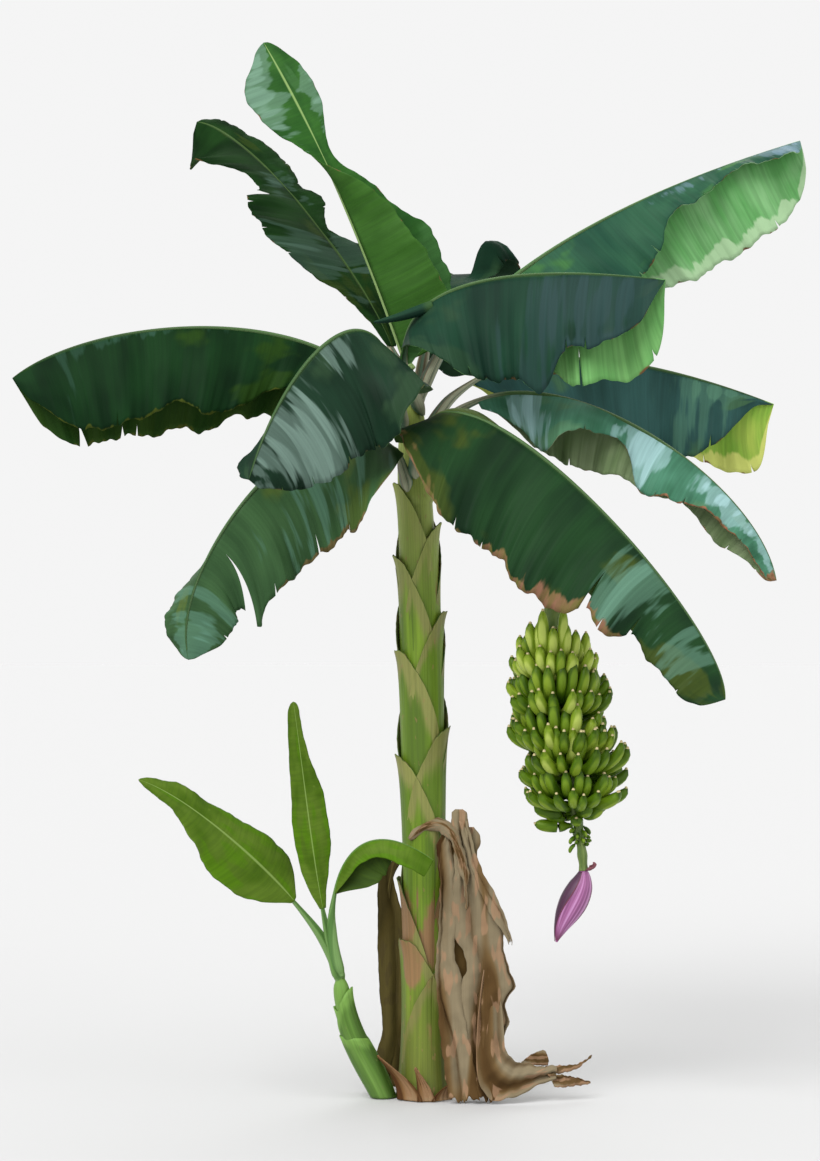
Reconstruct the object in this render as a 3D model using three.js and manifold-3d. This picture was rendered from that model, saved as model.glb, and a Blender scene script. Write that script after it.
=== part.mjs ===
// A fruiting banana plant with one young sucker, as an assembly of closed solids.
// Millimetres, +Z up. The origin is the centre of the flat cut under the stem, at ground level.
// +X is to the right in the front view and +Y points away from the viewer.
import * as THREE from "three";
import { mergeVertices } from "three/addons/utils/BufferGeometryUtils.js";
import Module from "manifold-3d";

const wasm = await Module();
wasm.setup();

// Driving dimensions
const GAP = 0.3; // clearance between pieces that touch
const CLEAR = 0.5; // how much fatter a faceted solid is made before it is cut from its neighbour
const STEM_TOP = 3040; // where the youngest leaf leaves the stem
const STEM_LEAN = -65; // sideways drift of the stem's top
const STEM_RADII = [
  [0, 130], [0.05, 112], [0.12, 101], [0.27, 94], [0.42, 97], [0.56, 95], [0.7, 87],
  [0.82, 77], [0.88, 70], [0.94, 50], [1, 26],
]; // share of the stem's height, radius
const STEM_RIB = [[0, 0, 0], [0, 0, 1100], [-10, 0, 2200], [STEM_LEAN, 0, STEM_TOP]];
const SHEATH_DROP = 0.027; // how fast a sheath's margin falls, mm for each square degree round the stem
const SHEATH_REACH = 125; // half the angle that a sheath wraps
const SHEATH_LENGTH = 240; // height of the part that shows below the margin
const SHEATH_THICK = 14;
const SHEATH_LIP = 12; // how far the tip stands off the stem
const SHEATHS = [
  [2570, 200], [2470, 85], [2402, -15], [2268, 192], [2150, 95], [2037, -8], [1873, 202], [1740, 80],
  [1550, -18], [1432, 198], [1180, 60], [915, 165], [668, 215],
]; // height of the tip, direction round the stem in degrees

// The stalk that carries the fruit, in two stretches, and the bunch's own stalk under it
const STALK_RIB = [[-20, -60, 2750], [265, -250, 3115], [600, -150, 2310], [535, -160, 2045]];
const STALK_RADII = [[0, 40], [0.5, 38], [1, 42]];
const RACHIS_RIB = [[535, -160, 2045], [475, -168, 1800], [640, -165, 1250], [655, -165, 965]];
const RACHIS_RADII = [[0, 42], [0.5, 34], [0.8, 22], [1, 19]];
const RACHIS_START = 0.0004; // share left clear under the stalk's end
const HANDS = [
  [1800, -95, 185, 60], [1690, 80, 215, 48], [1650, -80, 220, 44], [1530, 115, 230, 42],
  [1490, -130, 230, 42], [1420, -45, 240, 42], [1340, 95, 230, 38], [1270, -105, 225, 34],
  [1175, -95, 150, 8],
]; // height of the hand, direction it faces, reach of its fingers, their rise in degrees
const FINGERS = 4; // in each of the two rows of a hand
const HAND_SPREAD = 170; // degrees round the stalk
const ROW_DROP = 36;
const FINGER_RADII = [[0, 14], [0.2, 30], [0.5, 35], [0.85, 31], [1, 14]];
const BUD_RIB = [[655, -165, 965], [659.5, -165, 880], [575, -165, 790], [543, -165, 668]];
const BUD_RADII = [[0, 19], [0.14, 44], [0.42, 57], [0.7, 42], [0.93, 14], [1, 5]];
const BUD_START = 0.0018; // share left clear under the bunch

const SUCKER_RIB = [[-162, -16, -28], [-230, -75, 170], [-335, -130, 260], [-352, -152, 520]];
const SUCKER_RADII = [[0, 50], [0.3, 58], [0.55, 54], [0.62, 34], [0.8, 29], [1, 27]];

const PETIOLE_RADII = [[0, 34], [0.3, 26], [1, 17]];
const SUCKER_PETIOLE_RADII = [[0, 20], [0.3, 15], [1, 10]];
const DRY_PETIOLE_RADII = [[0, 22], [0.5, 18], [1, 14]];
const ROLL_RADII = [[0, 24], [0.7, 18], [1, 9]];

// Short dry scale leaves round the foot of the stem: direction in degrees, height, half width in degrees,
// lean of the tip
const SCALES = { left: [-128, 195, 20, 95], front: [-90, 150, 11, 24], right: [-62, 80, 15, 34] };
const SCALE_THICK = 7;

// Leaves. Each is a petiole and a blade on one cubic rib, from the throat of the stem to the leaf's tip.
// rib: the cubic's four points. petiole: the share of the rib that is bare stalk. face: roughly where the
// upper side looks. left and right: the two halves as seen from the stalk. width (mm), hang (degrees above
// the rib's own side direction), curl (degrees turned by the margin) and sweep (how far the veins run on
// towards the tip, as a share of the width) are numbers or profiles along the blade. Each tear is
// [share, depth, gap in mm]. bend: the share where a strongly bent blade is built as two solids. rolled:
// the curve of a basal margin that is rolled into a tube.
const LEAVES = {
  spear: {
    rib: [[-65, 0, 3040], [-235, -30, 3525], [-440, -55, 4020], [-685, 130, 4450]],
    petiole: 0.03,
    face: [0, -1, 0.15],
    left: {
      width: [
        [0, 120], [0.1, 258], [0.22, 255], [0.36, 205], [0.5, 132], [0.6, 85], [0.73, 185],
        [0.86, 168], [0.95, 75], [1, 22],
      ],
      hang: [[0, 156], [0.35, 150], [0.5, 100], [0.62, 40], [0.74, 20], [0.8, 10], [1, 5]],
      curl: [[0, -8], [0.35, -12], [0.5, -90], [0.62, -150], [0.74, -40], [0.8, 15], [1, 15]],
      sweep: 0.1,
    },
    right: {
      width: [
        [0, 120], [0.1, 265], [0.22, 310], [0.3, 300], [0.41, 190], [0.5, 130], [0.61, 40],
        [0.76, 95], [0.88, 92], [1, 22],
      ],
      hang: 0,
      curl: 10,
      sweep: 0.1,
    },
    colour: "pale_blade",
  },
  back_left_high: {
    rib: [[-105, 30, 2960], [-40, 20, 3205], [-775, 755, 4220], [-1025, 720, 4210]],
    petiole: 0.12,
    face: [0.4, -0.5, 0.7],
    left: {
      width: [
        [0, 25], [0.16, 125], [0.3, 320], [0.37, 385], [0.48, 310], [0.6, 170], [0.68, 210],
        [0.78, 345], [0.9, 260], [1, 110],
      ],
      hang: 10,
      curl: 15,
      sweep: 0.1,
      tears: [[0.57, 0.42, 60]],
    },
    right: {
      width: [
        [0, 25], [0.2, 180], [0.38, 165], [0.44, 50], [0.57, 155], [0.62, 100], [0.74, 150],
        [0.85, 100], [0.95, 80], [1, 30],
      ],
      hang: 10,
      curl: 15,
      sweep: 0.1,
    },
    colour: "blade",
  },
  left: {
    rib: [[-120, -20, 2795], [-230, -190, 3355], [-1365, -175, 3290], [-1705, -200, 3000]],
    petiole: 0.2,
    bend: 0.5,
    left: {
      width: [
        [0, 30], [0.08, 250], [0.23, 352], [0.45, 390], [0.6, 385], [0.75, 320], [0.9, 215],
        [1, 90],
      ],
      hang: -62,
      curl: 20,
      sweep: 0.1,
    },
    right: {
      width: [[0, 30], [0.12, 350], [0.38, 447], [0.6, 420], [0.78, 385], [0.93, 320], [1, 190]],
      hang: -73,
      curl: 15,
      sweep: 0.1,
      tears: [[0.87, 0.25, 50]],
    },
    colour: "blade",
  },
  front_left: {
    rib: [[-95, -60, 2785], [-135, -380, 3560], [-580, -550, 3070], [-695, -760, 2560]],
    petiole: 0.12,
    smooth: 0.2,
    bend: 0.42,
    left: {
      width: [
        [0, 120], [0.06, 190], [0.14, 280], [0.26, 470], [0.36, 515], [0.46, 465], [0.6, 410],
        [0.75, 345], [0.88, 225], [1, 50],
      ],
      hang: [[0, -10], [0.15, -25], [0.35, -50], [0.6, -68], [1, -78]],
      curl: 15,
      sweep: [[0, 0], [0.3, 0.1], [0.6, 0.3], [1, 0.3]],
    },
    right: {
      width: [[0, 30], [0.12, 180], [0.3, 300], [0.6, 320], [0.85, 230], [1, 40]],
      hang: [[0, -60], [0.4, -88], [1, -100]],
      curl: 10,
      sweep: 0.2,
    },
    colour: "blade",
  },
  low_left: {
    rib: [[-75, -75, 2535], [-185, -230, 3255], [-1085, -480, 2320], [-955, -470, 1845]],
    petiole: 0.1,
    face: [-0.6, -0.3, 0.8],
    smooth: 0.15,
    bend: 0.42,
    left: {
      width: [
        [0, 60], [0.08, 385], [0.16, 475], [0.3, 415], [0.53, 375], [0.68, 270], [0.8, 225],
        [0.89, 165], [1, 70],
      ],
      hang: [[0, -20], [0.15, -45], [0.3, -65], [1, -75]],
      curl: 15,
      sweep: [[0, 0], [0.3, 0.2], [1, 0.3]],
      tears: [[0.66, 0.75, 70]],
    },
    right: {
      width: [[0, 30], [0.12, 180], [0.4, 260], [0.7, 150], [0.9, 140], [1, 60]],
      hang: [[0, -70], [0.5, -88], [0.7, -20], [0.85, 20], [1, 20]],
      curl: 10,
      sweep: 0.2,
    },
    colour: "blade",
  },
  front_right_high: {
    rib: [[-5, -45, 2855], [-360, -180, 3520], [550, -460, 3430], [960, -540, 3370]],
    petiole: 0.19,
    smooth: 0.15,
    bend: 0.45,
    left: {
      width: [[0, 30], [0.15, 200], [0.45, 350], [0.7, 445], [0.86, 420], [0.96, 335], [1, 190]],
      hang: [[0, -15], [0.15, -60], [0.6, -80], [1, -85]],
      curl: 10,
      sweep: [[0, 0.15], [0.75, 0.1], [1, 0.4]],
      tears: [[0.72, 0.35, 14]],
    },
    right: {
      width: [
        [0, 60], [0.14, 120], [0.2, 270], [0.34, 425], [0.5, 465], [0.61, 515], [0.68, 345],
        [0.81, 320], [0.94, 240], [1, 80],
      ],
      hang: [[0, 0], [0.12, -30], [0.3, -60], [1, -62]],
      curl: 20,
      sweep: [[0, -0.1], [0.25, -0.1], [1, 0.1]],
    },
    rolled: [[30, -240, 3292], [-40, -245, 3272], [-110, -245, 3240], [-212, -250, 3226]],
    colour: "blade",
  },
  right_high: {
    rib: [[-35, 10, 2880], [90, 125, 3520], [1145, 340, 3925], [1635, 420, 4080]],
    petiole: 0.25,
    left: {
      width: [[0, 30], [0.15, 250], [0.4, 370], [0.63, 402], [0.8, 340], [0.93, 255], [1, 80]],
      hang: [[0, -60], [0.4, -85], [1, -98]],
      curl: 0,
      sweep: 0.1,
    },
    right: {
      width: [
        [0, 30], [0.15, 260], [0.36, 330], [0.46, 275], [0.55, 160], [0.69, 135], [0.76, 75],
        [0.95, 110], [1, 25],
      ],
      hang: [[0, -62], [0.4, -50], [0.8, -20], [1, -10]],
      curl: 20,
      sweep: 0.15,
    },
    colour: "blade",
  },
  right_back: {
    rib: [[0, 40, 2750], [195, 250, 3340], [1080, 530, 3120], [1545, 600, 2945]],
    petiole: 0.2,
    left: {
      width: [[0, 30], [0.15, 260], [0.5, 345], [0.85, 330], [0.96, 325], [1, 230]],
      hang: [[0, -60], [1, -75]],
      curl: 15,
      sweep: [[0, 0.05], [0.8, 0.05], [1, 0.25]],
    },
    right: {
      width: [
        [0, 30], [0.2, 380], [0.37, 447], [0.58, 455], [0.71, 380], [0.8, 300], [0.92, 140],
        [1, 25],
      ],
      hang: [[0, -65], [1, -70]],
      curl: 15,
      sweep: 0.1,
    },
    colour: "blade",
  },
  right_low: {
    rib: [[-10, -16, 2660], [205, -165, 3350], [1345, -380, 2660], [1425, -390, 2165]],
    petiole: 0.19,
    bend: 0.5,
    left: {
      width: [
        [0, 30], [0.12, 220], [0.3, 270], [0.45, 215], [0.54, 225], [0.67, 150], [0.8, 165],
        [0.9, 105], [1, 40],
      ],
      hang: [[0, -75], [1, -85]],
      curl: 15,
      sweep: 0.15,
    },
    right: {
      width: [
        [0, 60], [0.1, 165], [0.22, 285], [0.33, 170], [0.42, 95], [0.53, 235], [0.63, 235],
        [0.7, 160], [0.85, 95], [1, 45],
      ],
      hang: [[0, -55], [0.15, -62], [0.3, -25], [0.46, -62], [0.65, -30], [0.8, -45], [1, -50]],
      curl: 20,
      sweep: 0.15,
    },
    colour: "blade",
  },
  front_right: {
    rib: [[-40, -85, 2590], [-85, -460, 3440], [1215, -655, 2025], [1170, -800, 1700]],
    petiole: 0.07,
    face: [0.4, -0.3, 1],
    smooth: 0.15,
    bend: 0.45,
    left: {
      width: [[0, 30], [0.15, 200], [0.5, 290], [0.85, 220], [0.96, 130], [1, 30]],
      hang: [[0, -15], [0.15, -60], [0.7, -80], [1, -40]],
      curl: 10,
      sweep: 0.2,
    },
    right: {
      width: [
        [0, 100], [0.08, 260], [0.15, 450], [0.24, 490], [0.38, 445], [0.5, 455], [0.6, 400],
        [0.67, 285], [0.8, 240], [0.94, 165], [1, 55],
      ],
      hang: [[0, 0], [0.15, -35], [0.4, -50], [1, -45]],
      curl: 15,
      sweep: [[0, 0], [0.3, 0.2], [1, 0.2]],
      tears: [[0.63, 0.5, 26]],
    },
    colour: "blade",
  },
  back: {
    rib: [[-35, 30, 2860], [35, 280, 3640], [230, 1000, 3760], [200, 1620, 3150]],
    petiole: 0.2,
    bend: 0.55,
    left: {
      width: [[0, 30], [0.12, 190], [0.3, 215], [0.5, 260], [0.85, 210], [0.95, 130], [1, 40]],
      hang: [[0, 20], [0.4, 25], [1, -20]],
      curl: 20,
      sweep: 0.1,
    },
    right: {
      width: [[0, 30], [0.15, 210], [0.3, 275], [0.5, 300], [0.85, 220], [0.95, 130], [1, 40]],
      hang: [[0, 30], [0.4, 40], [1, -20]],
      curl: 20,
      sweep: 0.1,
    },
    colour: "blade",
  },
  back_left: {
    rib: [[-90, 50, 2760], [-175, 400, 3430], [-550, 1245, 3290], [-585, 1480, 2595]],
    petiole: 0.22,
    bend: 0.55,
    left: {
      width: [[0, 30], [0.15, 240], [0.5, 310], [0.85, 230], [0.95, 130], [1, 30]],
      hang: [[0, -10], [1, -40]],
      curl: 30,
      sweep: 0.2,
    },
    right: {
      width: [[0, 30], [0.15, 240], [0.5, 310], [0.85, 230], [0.95, 130], [1, 30]],
      hang: [[0, -10], [1, -40]],
      curl: 30,
      sweep: 0.2,
    },
    colour: "blade",
  },
};

// The sucker's leaves are built in the same way, on thinner stalks.
const SUCKER_LEAVES = {
  sucker_left: {
    rib: [[-350, -150, 490], [-375, -150, 765], [-940, -280, 1280], [-1175, -290, 1350]],
    petiole: 0.33,
    face: [0.2, -0.6, 0.8],
    left: {
      width: [
        [0, 25], [0.1, 150], [0.25, 235], [0.4, 220], [0.55, 165], [0.75, 80], [0.9, 45], [1, 18],
      ],
      hang: 5,
      curl: 10,
      sweep: 0.2,
    },
    right: {
      width: [
        [0, 25], [0.1, 140], [0.28, 150], [0.45, 115], [0.65, 90], [0.8, 85], [0.94, 35], [1, 18],
      ],
      hang: 5,
      curl: 10,
      sweep: 0.2,
    },
    colour: "young",
  },
  sucker_up: {
    rib: [[-355, -160, 510], [-460, -175, 885], [-490, -180, 1285], [-545, -190, 1665]],
    petiole: 0.26,
    face: [0.3, -1, 0],
    left: {
      width: [[0, 14], [0.1, 45], [0.22, 66], [0.38, 70], [0.57, 60], [0.82, 44], [1, 22]],
      hang: 0,
      curl: 10,
      sweep: 0.1,
    },
    right: {
      width: [[0, 14], [0.08, 30], [0.22, 68], [0.33, 86], [0.55, 74], [0.78, 28], [1, 20]],
      hang: 0,
      curl: 10,
      sweep: 0.1,
    },
    colour: "young",
  },
  sucker_right: {
    rib: [[-345, -165, 530], [-460, -200, 850], [-340, -235, 1300], [35, -295, 990]],
    petiole: 0.38,
    bend: 0.5,
    left: {
      width: [[0, 20], [0.15, 70], [0.5, 80], [0.8, 60], [1, 20]],
      hang: [[0, -85], [1, -80]],
      curl: 10,
      sweep: 0.2,
    },
    right: {
      width: [[0, 20], [0.1, 150], [0.3, 170], [0.5, 140], [0.7, 100], [0.86, 60], [1, 22]],
      hang: [[0, -70], [1, -45]],
      curl: 10,
      sweep: 0.2,
    },
    colour: "young",
  },
};

// Dry leaves hang from the stem; their ribs run down, so the right half is on the left in the front view.
const DRY_LEAVES = {
  dry_front: {
    rib: [[60, -85, 1090], [100, -165, 1420], [240, -112, 700], [232, -112, 25]],
    petiole: 0.06,
    face: [0.1, -1, 0.2],
    left: {
      width: [
        [0, 20], [0.1, 60], [0.22, 90], [0.45, 160], [0.55, 185], [0.65, 140], [0.8, 150],
        [1, 170],
      ],
      hang: [[0, -5], [0.2, -20], [1, -10]],
      curl: 15,
      sweep: 0,
    },
    right: {
      width: [[0, 40], [0.1, 60], [0.3, 110], [0.45, 145], [0.7, 165], [1, 125]],
      hang: 12,
      curl: -8,
      sweep: 0,
    },
    colour: "dry",
  },
  dry_tail: {
    rib: [[290, -125, 70], [420, -170, 20], [560, -60, 60], [700, 0, 120]],
    petiole: 0.05,
    left: {
      width: [[0, 50], [0.3, 85], [0.6, 50], [1, 15]],
      hang: 10,
      curl: 10,
      sweep: 0.1,
    },
    right: {
      width: [[0, 50], [0.3, 75], [0.7, 45], [1, 15]],
      hang: -5,
      curl: 5,
      sweep: 0.1,
    },
    colour: "dry",
  },
  dry_back: {
    rib: [[-85, 60, 1010], [-190, 90, 980], [-175, 110, 500], [-150, 105, 110]],
    petiole: 0.12,
    face: [-0.3, -1, 0],
    left: {
      width: [[0, 20], [0.2, 36], [0.6, 40], [0.9, 48], [1, 60]],
      hang: -10,
      curl: 10,
      sweep: 0,
    },
    right: {
      width: [[0, 20], [0.2, 36], [0.6, 40], [0.9, 48], [1, 60]],
      hang: -10,
      curl: 10,
      sweep: 0,
    },
    colour: "dry",
  },
};

const BLADE_STEPS = 13; // along a whole blade
const SMOOTH = 0.1; // share of the rib over which a blade averages its direction
const BLADE_RISE = 1.6; // crowds the vertices towards the rib

const COLOURS = {
  stem: 0x7d8a4a,
  blade: 0x2c4f38,
  pale_blade: 0x4d7f3c,
  petiole: 0x7f8a6c,
  fruit: 0x6f8c1f,
  bud: 0x7b4a66,
  dry: 0x8d7a5e,
  young: 0x5f8a33,
};

const rad = THREE.MathUtils.degToRad;
const UP = new THREE.Vector3(0, 0, 1);

// A smooth curve of value over share, through a short list of [share, value].
function profile(points, share) {
  const n = points.length - 1;
  if (share <= points[0][0]) return points[0][1];
  if (share >= points[n][0]) return points[n][1];
  let k = 0;
  while (share > points[k + 1][0]) k += 1;
  const slope = (i) => {
    const a = points[Math.max(i - 1, 0)];
    const b = points[Math.min(i + 1, n)];
    return (b[1] - a[1]) / (b[0] - a[0]);
  };
  const [x0, y0] = points[k];
  const [x1, y1] = points[k + 1];
  const w = x1 - x0;
  const t = (share - x0) / w;
  return (
    y0 * (2 * t ** 3 - 3 * t ** 2 + 1) +
    y1 * (3 * t ** 2 - 2 * t ** 3) +
    w * slope(k) * (t ** 3 - 2 * t ** 2 + t) +
    w * slope(k + 1) * (t ** 3 - t ** 2)
  );
}

// A plain three.js geometry with its shared vertices merged and each one moved by place(vertex).
function moulded(geometry, place) {
  geometry.deleteAttribute("normal");
  geometry.deleteAttribute("uv");
  const merged = mergeVertices(geometry, 1e-5);
  const position = merged.attributes.position;
  const v = new THREE.Vector3();
  for (let i = 0; i < position.count; i += 1) {
    v.fromBufferAttribute(position, i);
    place(v);
    position.setXYZ(i, v.x, v.y, v.z);
  }
  return merged;
}

function solid(geometry) {
  const merged = mergeVertices(geometry, 1e-4);
  const triVerts = new Uint32Array(merged.index.array);
  const vertProperties = new Float32Array(merged.attributes.position.array);
  const make = () => new wasm.Manifold(new wasm.Mesh({ numProp: 3, vertProperties, triVerts }));
  const made = make();
  if (made.volume() > 0) return made;
  for (let i = 0; i < triVerts.length; i += 3) {
    [triVerts[i + 1], triVerts[i + 2]] = [triVerts[i + 2], triVerts[i + 1]];
  }
  return make();
}

// A closed plate: the triangles of a plane, once at each of its two faces, and a rim between them.
// place(x, z, y) gives the point for x and z from 0 to 1 and for the face y of -0.5 or 0.5.
function plate(nx, nz, place) {
  const plane = new THREE.PlaneGeometry(1, 1, nx, nz);
  const { position, uv } = plane.attributes;
  const n = position.count;
  const points = [];
  for (const face of [-0.5, 0.5]) {
    for (let i = 0; i < n; i += 1) points.push(...place(uv.getX(i), uv.getY(i), face).toArray());
  }
  const index = [];
  for (let i = 0; i < plane.index.count; i += 3) {
    const [a, b, c] = [0, 1, 2].map((k) => plane.index.getX(i + k));
    index.push(c, b, a, a + n, b + n, c + n);
  }
  const row = nx + 1;
  const rim = [];
  for (let i = 0; i < nx; i += 1) rim.push(i);
  for (let j = 0; j < nz; j += 1) rim.push(j * row + nx);
  for (let i = nx; i > 0; i -= 1) rim.push(nz * row + i);
  for (let j = nz; j > 0; j -= 1) rim.push(j * row);
  rim.forEach((a, i) => {
    const b = rim[(i + 1) % rim.length];
    index.push(a, b + n, b, a, a + n, b + n);
  });
  const geometry = new THREE.BufferGeometry();
  geometry.setAttribute("position", new THREE.Float32BufferAttribute(points, 3));
  geometry.setIndex(index);
  return solid(geometry);
}

const fuse = (solids) => wasm.Manifold.union(solids);

// The largest piece of a solid that a cut may have left in several.
function largest(made) {
  return made.decompose().reduce((a, b) => (b.volume() > a.volume() ? b : a));
}

const plant = new THREE.Group();

function addPiece(name, made, colour, roughness = 0.6) {
  const whole = largest(made);
  const mesh = whole.getMesh();
  const geometry = new THREE.BufferGeometry();
  const points = new Float32Array(mesh.vertProperties);
  geometry.setAttribute("position", new THREE.BufferAttribute(points, 3));
  geometry.setIndex(new THREE.BufferAttribute(new Uint32Array(mesh.triVerts), 1));
  geometry.computeVertexNormals();
  const material = new THREE.MeshStandardMaterial({ color: colour, roughness, metalness: 0 });
  const piece = new THREE.Mesh(geometry, material);
  piece.name = name;
  plant.add(piece);
  return whole;
}

// A frame on a curve: its point, its direction averaged over the share smooth either way, the normal
// nearest to face, and the side.
function frameOn(curve, share, face, smooth = 0.005) {
  const clamped = (value) => curve.getPointAt(THREE.MathUtils.clamp(value, 0, 1));
  const at = clamped(share);
  const tangent = clamped(share + smooth).sub(clamped(share - smooth)).normalize();
  const normal = face.clone().addScaledVector(tangent, -face.dot(tangent)).normalize();
  const side = tangent.clone().cross(normal);
  return { at, tangent, normal, side };
}

const bezier = (points) => new THREE.CubicBezierCurve3(...points.map((p) => new THREE.Vector3(...p)));

// One tapering limb along a curve, from share a to share b. radii is a profile over that stretch.
function limb(curve, radii, { a = 0, b = 1, sides = 7, steps = 8, extra = 0, face = UP } = {}) {
  return solid(
    moulded(new THREE.CylinderGeometry(1, 1, 1, sides, steps), (v) => {
      const t = v.y + 0.5;
      const { at, normal, side } = frameOn(curve, a + (b - a) * t, face);
      const r = profile(radii, t) + extra;
      const [x, z] = [v.x * r, v.z * r];
      v.copy(at).addScaledVector(side, x).addScaledVector(normal, z);
    }),
  );
}

// The stem: overlapping leaf sheaths round a tapering core
const stemAxis = bezier(STEM_RIB);
const stemRadius = (share) => profile(STEM_RADII, share);

function stemPoint(height, degrees, radius) {
  const at = stemAxis.getPointAt(THREE.MathUtils.clamp(height / STEM_TOP, 0, 1));
  const out = new THREE.Vector3(Math.cos(rad(degrees)), Math.sin(rad(degrees)), 0);
  return at.addScaledVector(out, radius);
}

function sheath([tip, direction], extra = 0) {
  return plate(1, 4, (x, z, face) => {
    const turn = (2 * z - 1) * SHEATH_REACH;
    const height = tip - SHEATH_DROP * turn ** 2 - SHEATH_LENGTH * (1 - x) + 2 * extra * x;
    const lip = x * Math.max(0, 1 - Math.abs(turn) / 60) ** 2 * SHEATH_LIP;
    const radius = stemRadius(height / STEM_TOP) - 14 + 18 * x + lip + face * (SHEATH_THICK + 2 * extra);
    return stemPoint(height, direction + turn, radius);
  });
}

function stemCore(extra = 0, sides = 14, steps = 9) {
  return solid(
    moulded(new THREE.CylinderGeometry(1, 1, 1, sides, steps), (v) => {
      const share = v.y + 0.5;
      const at = stemAxis.getPointAt(share);
      const r = stemRadius(share) + extra;
      v.set(at.x + v.x * r, at.y + v.z * r, at.z);
    }),
  );
}

const stem = fuse([stemCore(), ...SHEATHS.map((one) => sheath(one))]);
addPiece("pseudostem", stem, COLOURS.stem, 0.55);

const along = (value, share) => (Array.isArray(value) ? profile(value, share) : value);

// A point of the blade's middle surface. b runs from the petiole to the tip, s from -1 (left) to 1 (right).
function bladePoint(leaf, b, s) {
  const share = leaf.petiole + (1 - leaf.petiole) * b;
  const { at, tangent, normal, side } = frameOn(leaf.curve, share, leaf.faceDir, leaf.smooth ?? SMOOTH);
  const half = s < 0 ? leaf.left : leaf.right;
  const width = profile(half.width, b);
  const out = Math.abs(s);
  const start = rad(along(half.hang, b));
  const curl = rad(along(half.curl, b)) || 1e-6;
  const across = (Math.sin(start) - Math.sin(start - curl * out)) / curl;
  const rise = (Math.cos(start - curl * out) - Math.cos(start)) / curl;
  return at
    .addScaledVector(side, Math.sign(s) * across * width)
    .addScaledVector(normal, rise * width)
    .addScaledVector(tangent, along(half.sweep, b) * width * out * out);
}

function bladeNormal(leaf, b, s) {
  const e = 0.01;
  const [b0, b1] = [Math.max(b - e, 0), Math.min(b + e, 1)];
  const [s0, s1] = [Math.max(s - e, -1), Math.min(s + e, 1)];
  const lengthwise = bladePoint(leaf, b1, s).sub(bladePoint(leaf, b0, s));
  const crosswise = bladePoint(leaf, b, s1).sub(bladePoint(leaf, b, s0));
  return crosswise.cross(lengthwise).normalize();
}

const bladeSteps = (a, b) => Math.max(3, Math.round(BLADE_STEPS * (b - a)));

// The stretch of blade from share a to share b of its length, as a plate that is thickest at the rib.
// extra thickens it and lead starts it sooner, for a solid that its neighbours are cut with.
function blade(leaf, a, b, { extra = 0, lead = 0, across = 6, steps = bladeSteps(a, b) } = {}) {
  const thin = leaf.length / 100;
  const rows = steps + (lead > 0 ? 1 : 0);
  return plate(rows, across, (x, z, face) => {
    const row = Math.round(x * rows) - (rows - steps);
    const t = row < 0 ? a - lead : a + ((b - a) * row) / steps;
    const s = Math.sign(z - 0.5) * Math.abs(2 * z - 1) ** BLADE_RISE;
    const thick = thin * (1 + 0.7 * (1 - Math.abs(s)) ** 6) + 2 * extra;
    return bladePoint(leaf, t, s).addScaledVector(bladeNormal(leaf, t, s), thick * face);
  });
}

// The wedge that a tear takes out of one half, from its inner end to past the margin.
function tearWedge(leaf, sign, [share, depth, gap]) {
  return solid(
    moulded(new THREE.BoxGeometry(1, 1, 1, 1, 1, 3), (v) => {
      const out = 1 - depth + (v.z + 0.5) * (depth + 0.12);
      const open = (0.04 + v.z + 0.5) * gap;
      const t = share + (v.x * open) / leaf.length;
      const lift = bladeNormal(leaf, t, sign * Math.min(out, 1)).multiplyScalar(120 * v.y);
      v.copy(bladePoint(leaf, t, sign * out)).add(lift);
    }),
  );
}

const cutStem = fuse([stemCore(CLEAR), ...SHEATHS.map((one) => sheath(one, CLEAR))]);
const keepClear = [cutStem];

// A limb that stops short of all it meets: the ground, the stem, the stalks before it and the given solids.
function addLimb(name, curve, radii, options, colour, others = []) {
  const whole = limb(curve, radii, options);
  const cut = [...keepClear, ...others].reduce((made, other) => made.subtract(other), whole);
  const standing = cut.trimByPlane([0, 0, 1], 0);
  keepClear.push(limb(curve, radii, { ...options, extra: CLEAR }));
  addPiece(name, standing, colour);
}

function addLeaf(name, leaf, stalkRadii, { across = 6, roughness = 0.45, meets } = {}) {
  leaf.curve = bezier(leaf.rib);
  leaf.faceDir = new THREE.Vector3(...(leaf.face ?? [0, 0, 1]));
  leaf.length = leaf.curve.getLength() * (1 - leaf.petiole);
  const gapShare = (2 * CLEAR) / leaf.length;
  const tears = [
    ...(leaf.left.tears ?? []).map((tear) => tearWedge(leaf, -1, tear)),
    ...(leaf.right.tears ?? []).map((tear) => tearWedge(leaf, 1, tear)),
  ];
  const torn = (made) => tears.reduce((rest, wedge) => rest.subtract(wedge), made);
  const clear = (made) => (meets ? meets.reduce((rest, other) => rest.subtract(other), made) : made);
  const colour = COLOURS[leaf.colour];
  const end = leaf.bend ?? 1;
  const first = blade(leaf, 0, end, { across });
  const roll = (extra) => (leaf.rolled ? [limb(bezier(leaf.rolled), ROLL_RADII, { steps: 3, extra })] : []);
  const base = fuse([first, ...roll(0)]);
  const stalk = {
    b: leaf.petiole + 4 / leaf.length,
    face: leaf.faceDir,
    steps: leaf.petiole > 0.1 ? 4 : 3,
    sides: 6,
  };
  const grown = fuse([blade(leaf, 0, end, { across, extra: CLEAR, lead: gapShare }), ...roll(CLEAR)]);
  addLimb(`petiole_${name}`, leaf.curve, stalkRadii, stalk, COLOURS.petiole, [grown]);
  addPiece(leaf.bend ? `leaf_${name}_inner` : `leaf_${name}`, clear(torn(base)), colour, roughness);
  if (leaf.bend) {
    const outer = torn(blade(leaf, leaf.bend + gapShare, 1, { across }));
    const reached = blade(leaf, 0, leaf.bend, { across, extra: CLEAR });
    const folds = outer.intersect(reached).volume() > 0;
    addPiece(`leaf_${name}_outer`, folds ? outer.subtract(reached) : outer, colour, roughness);
  }
}

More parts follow.
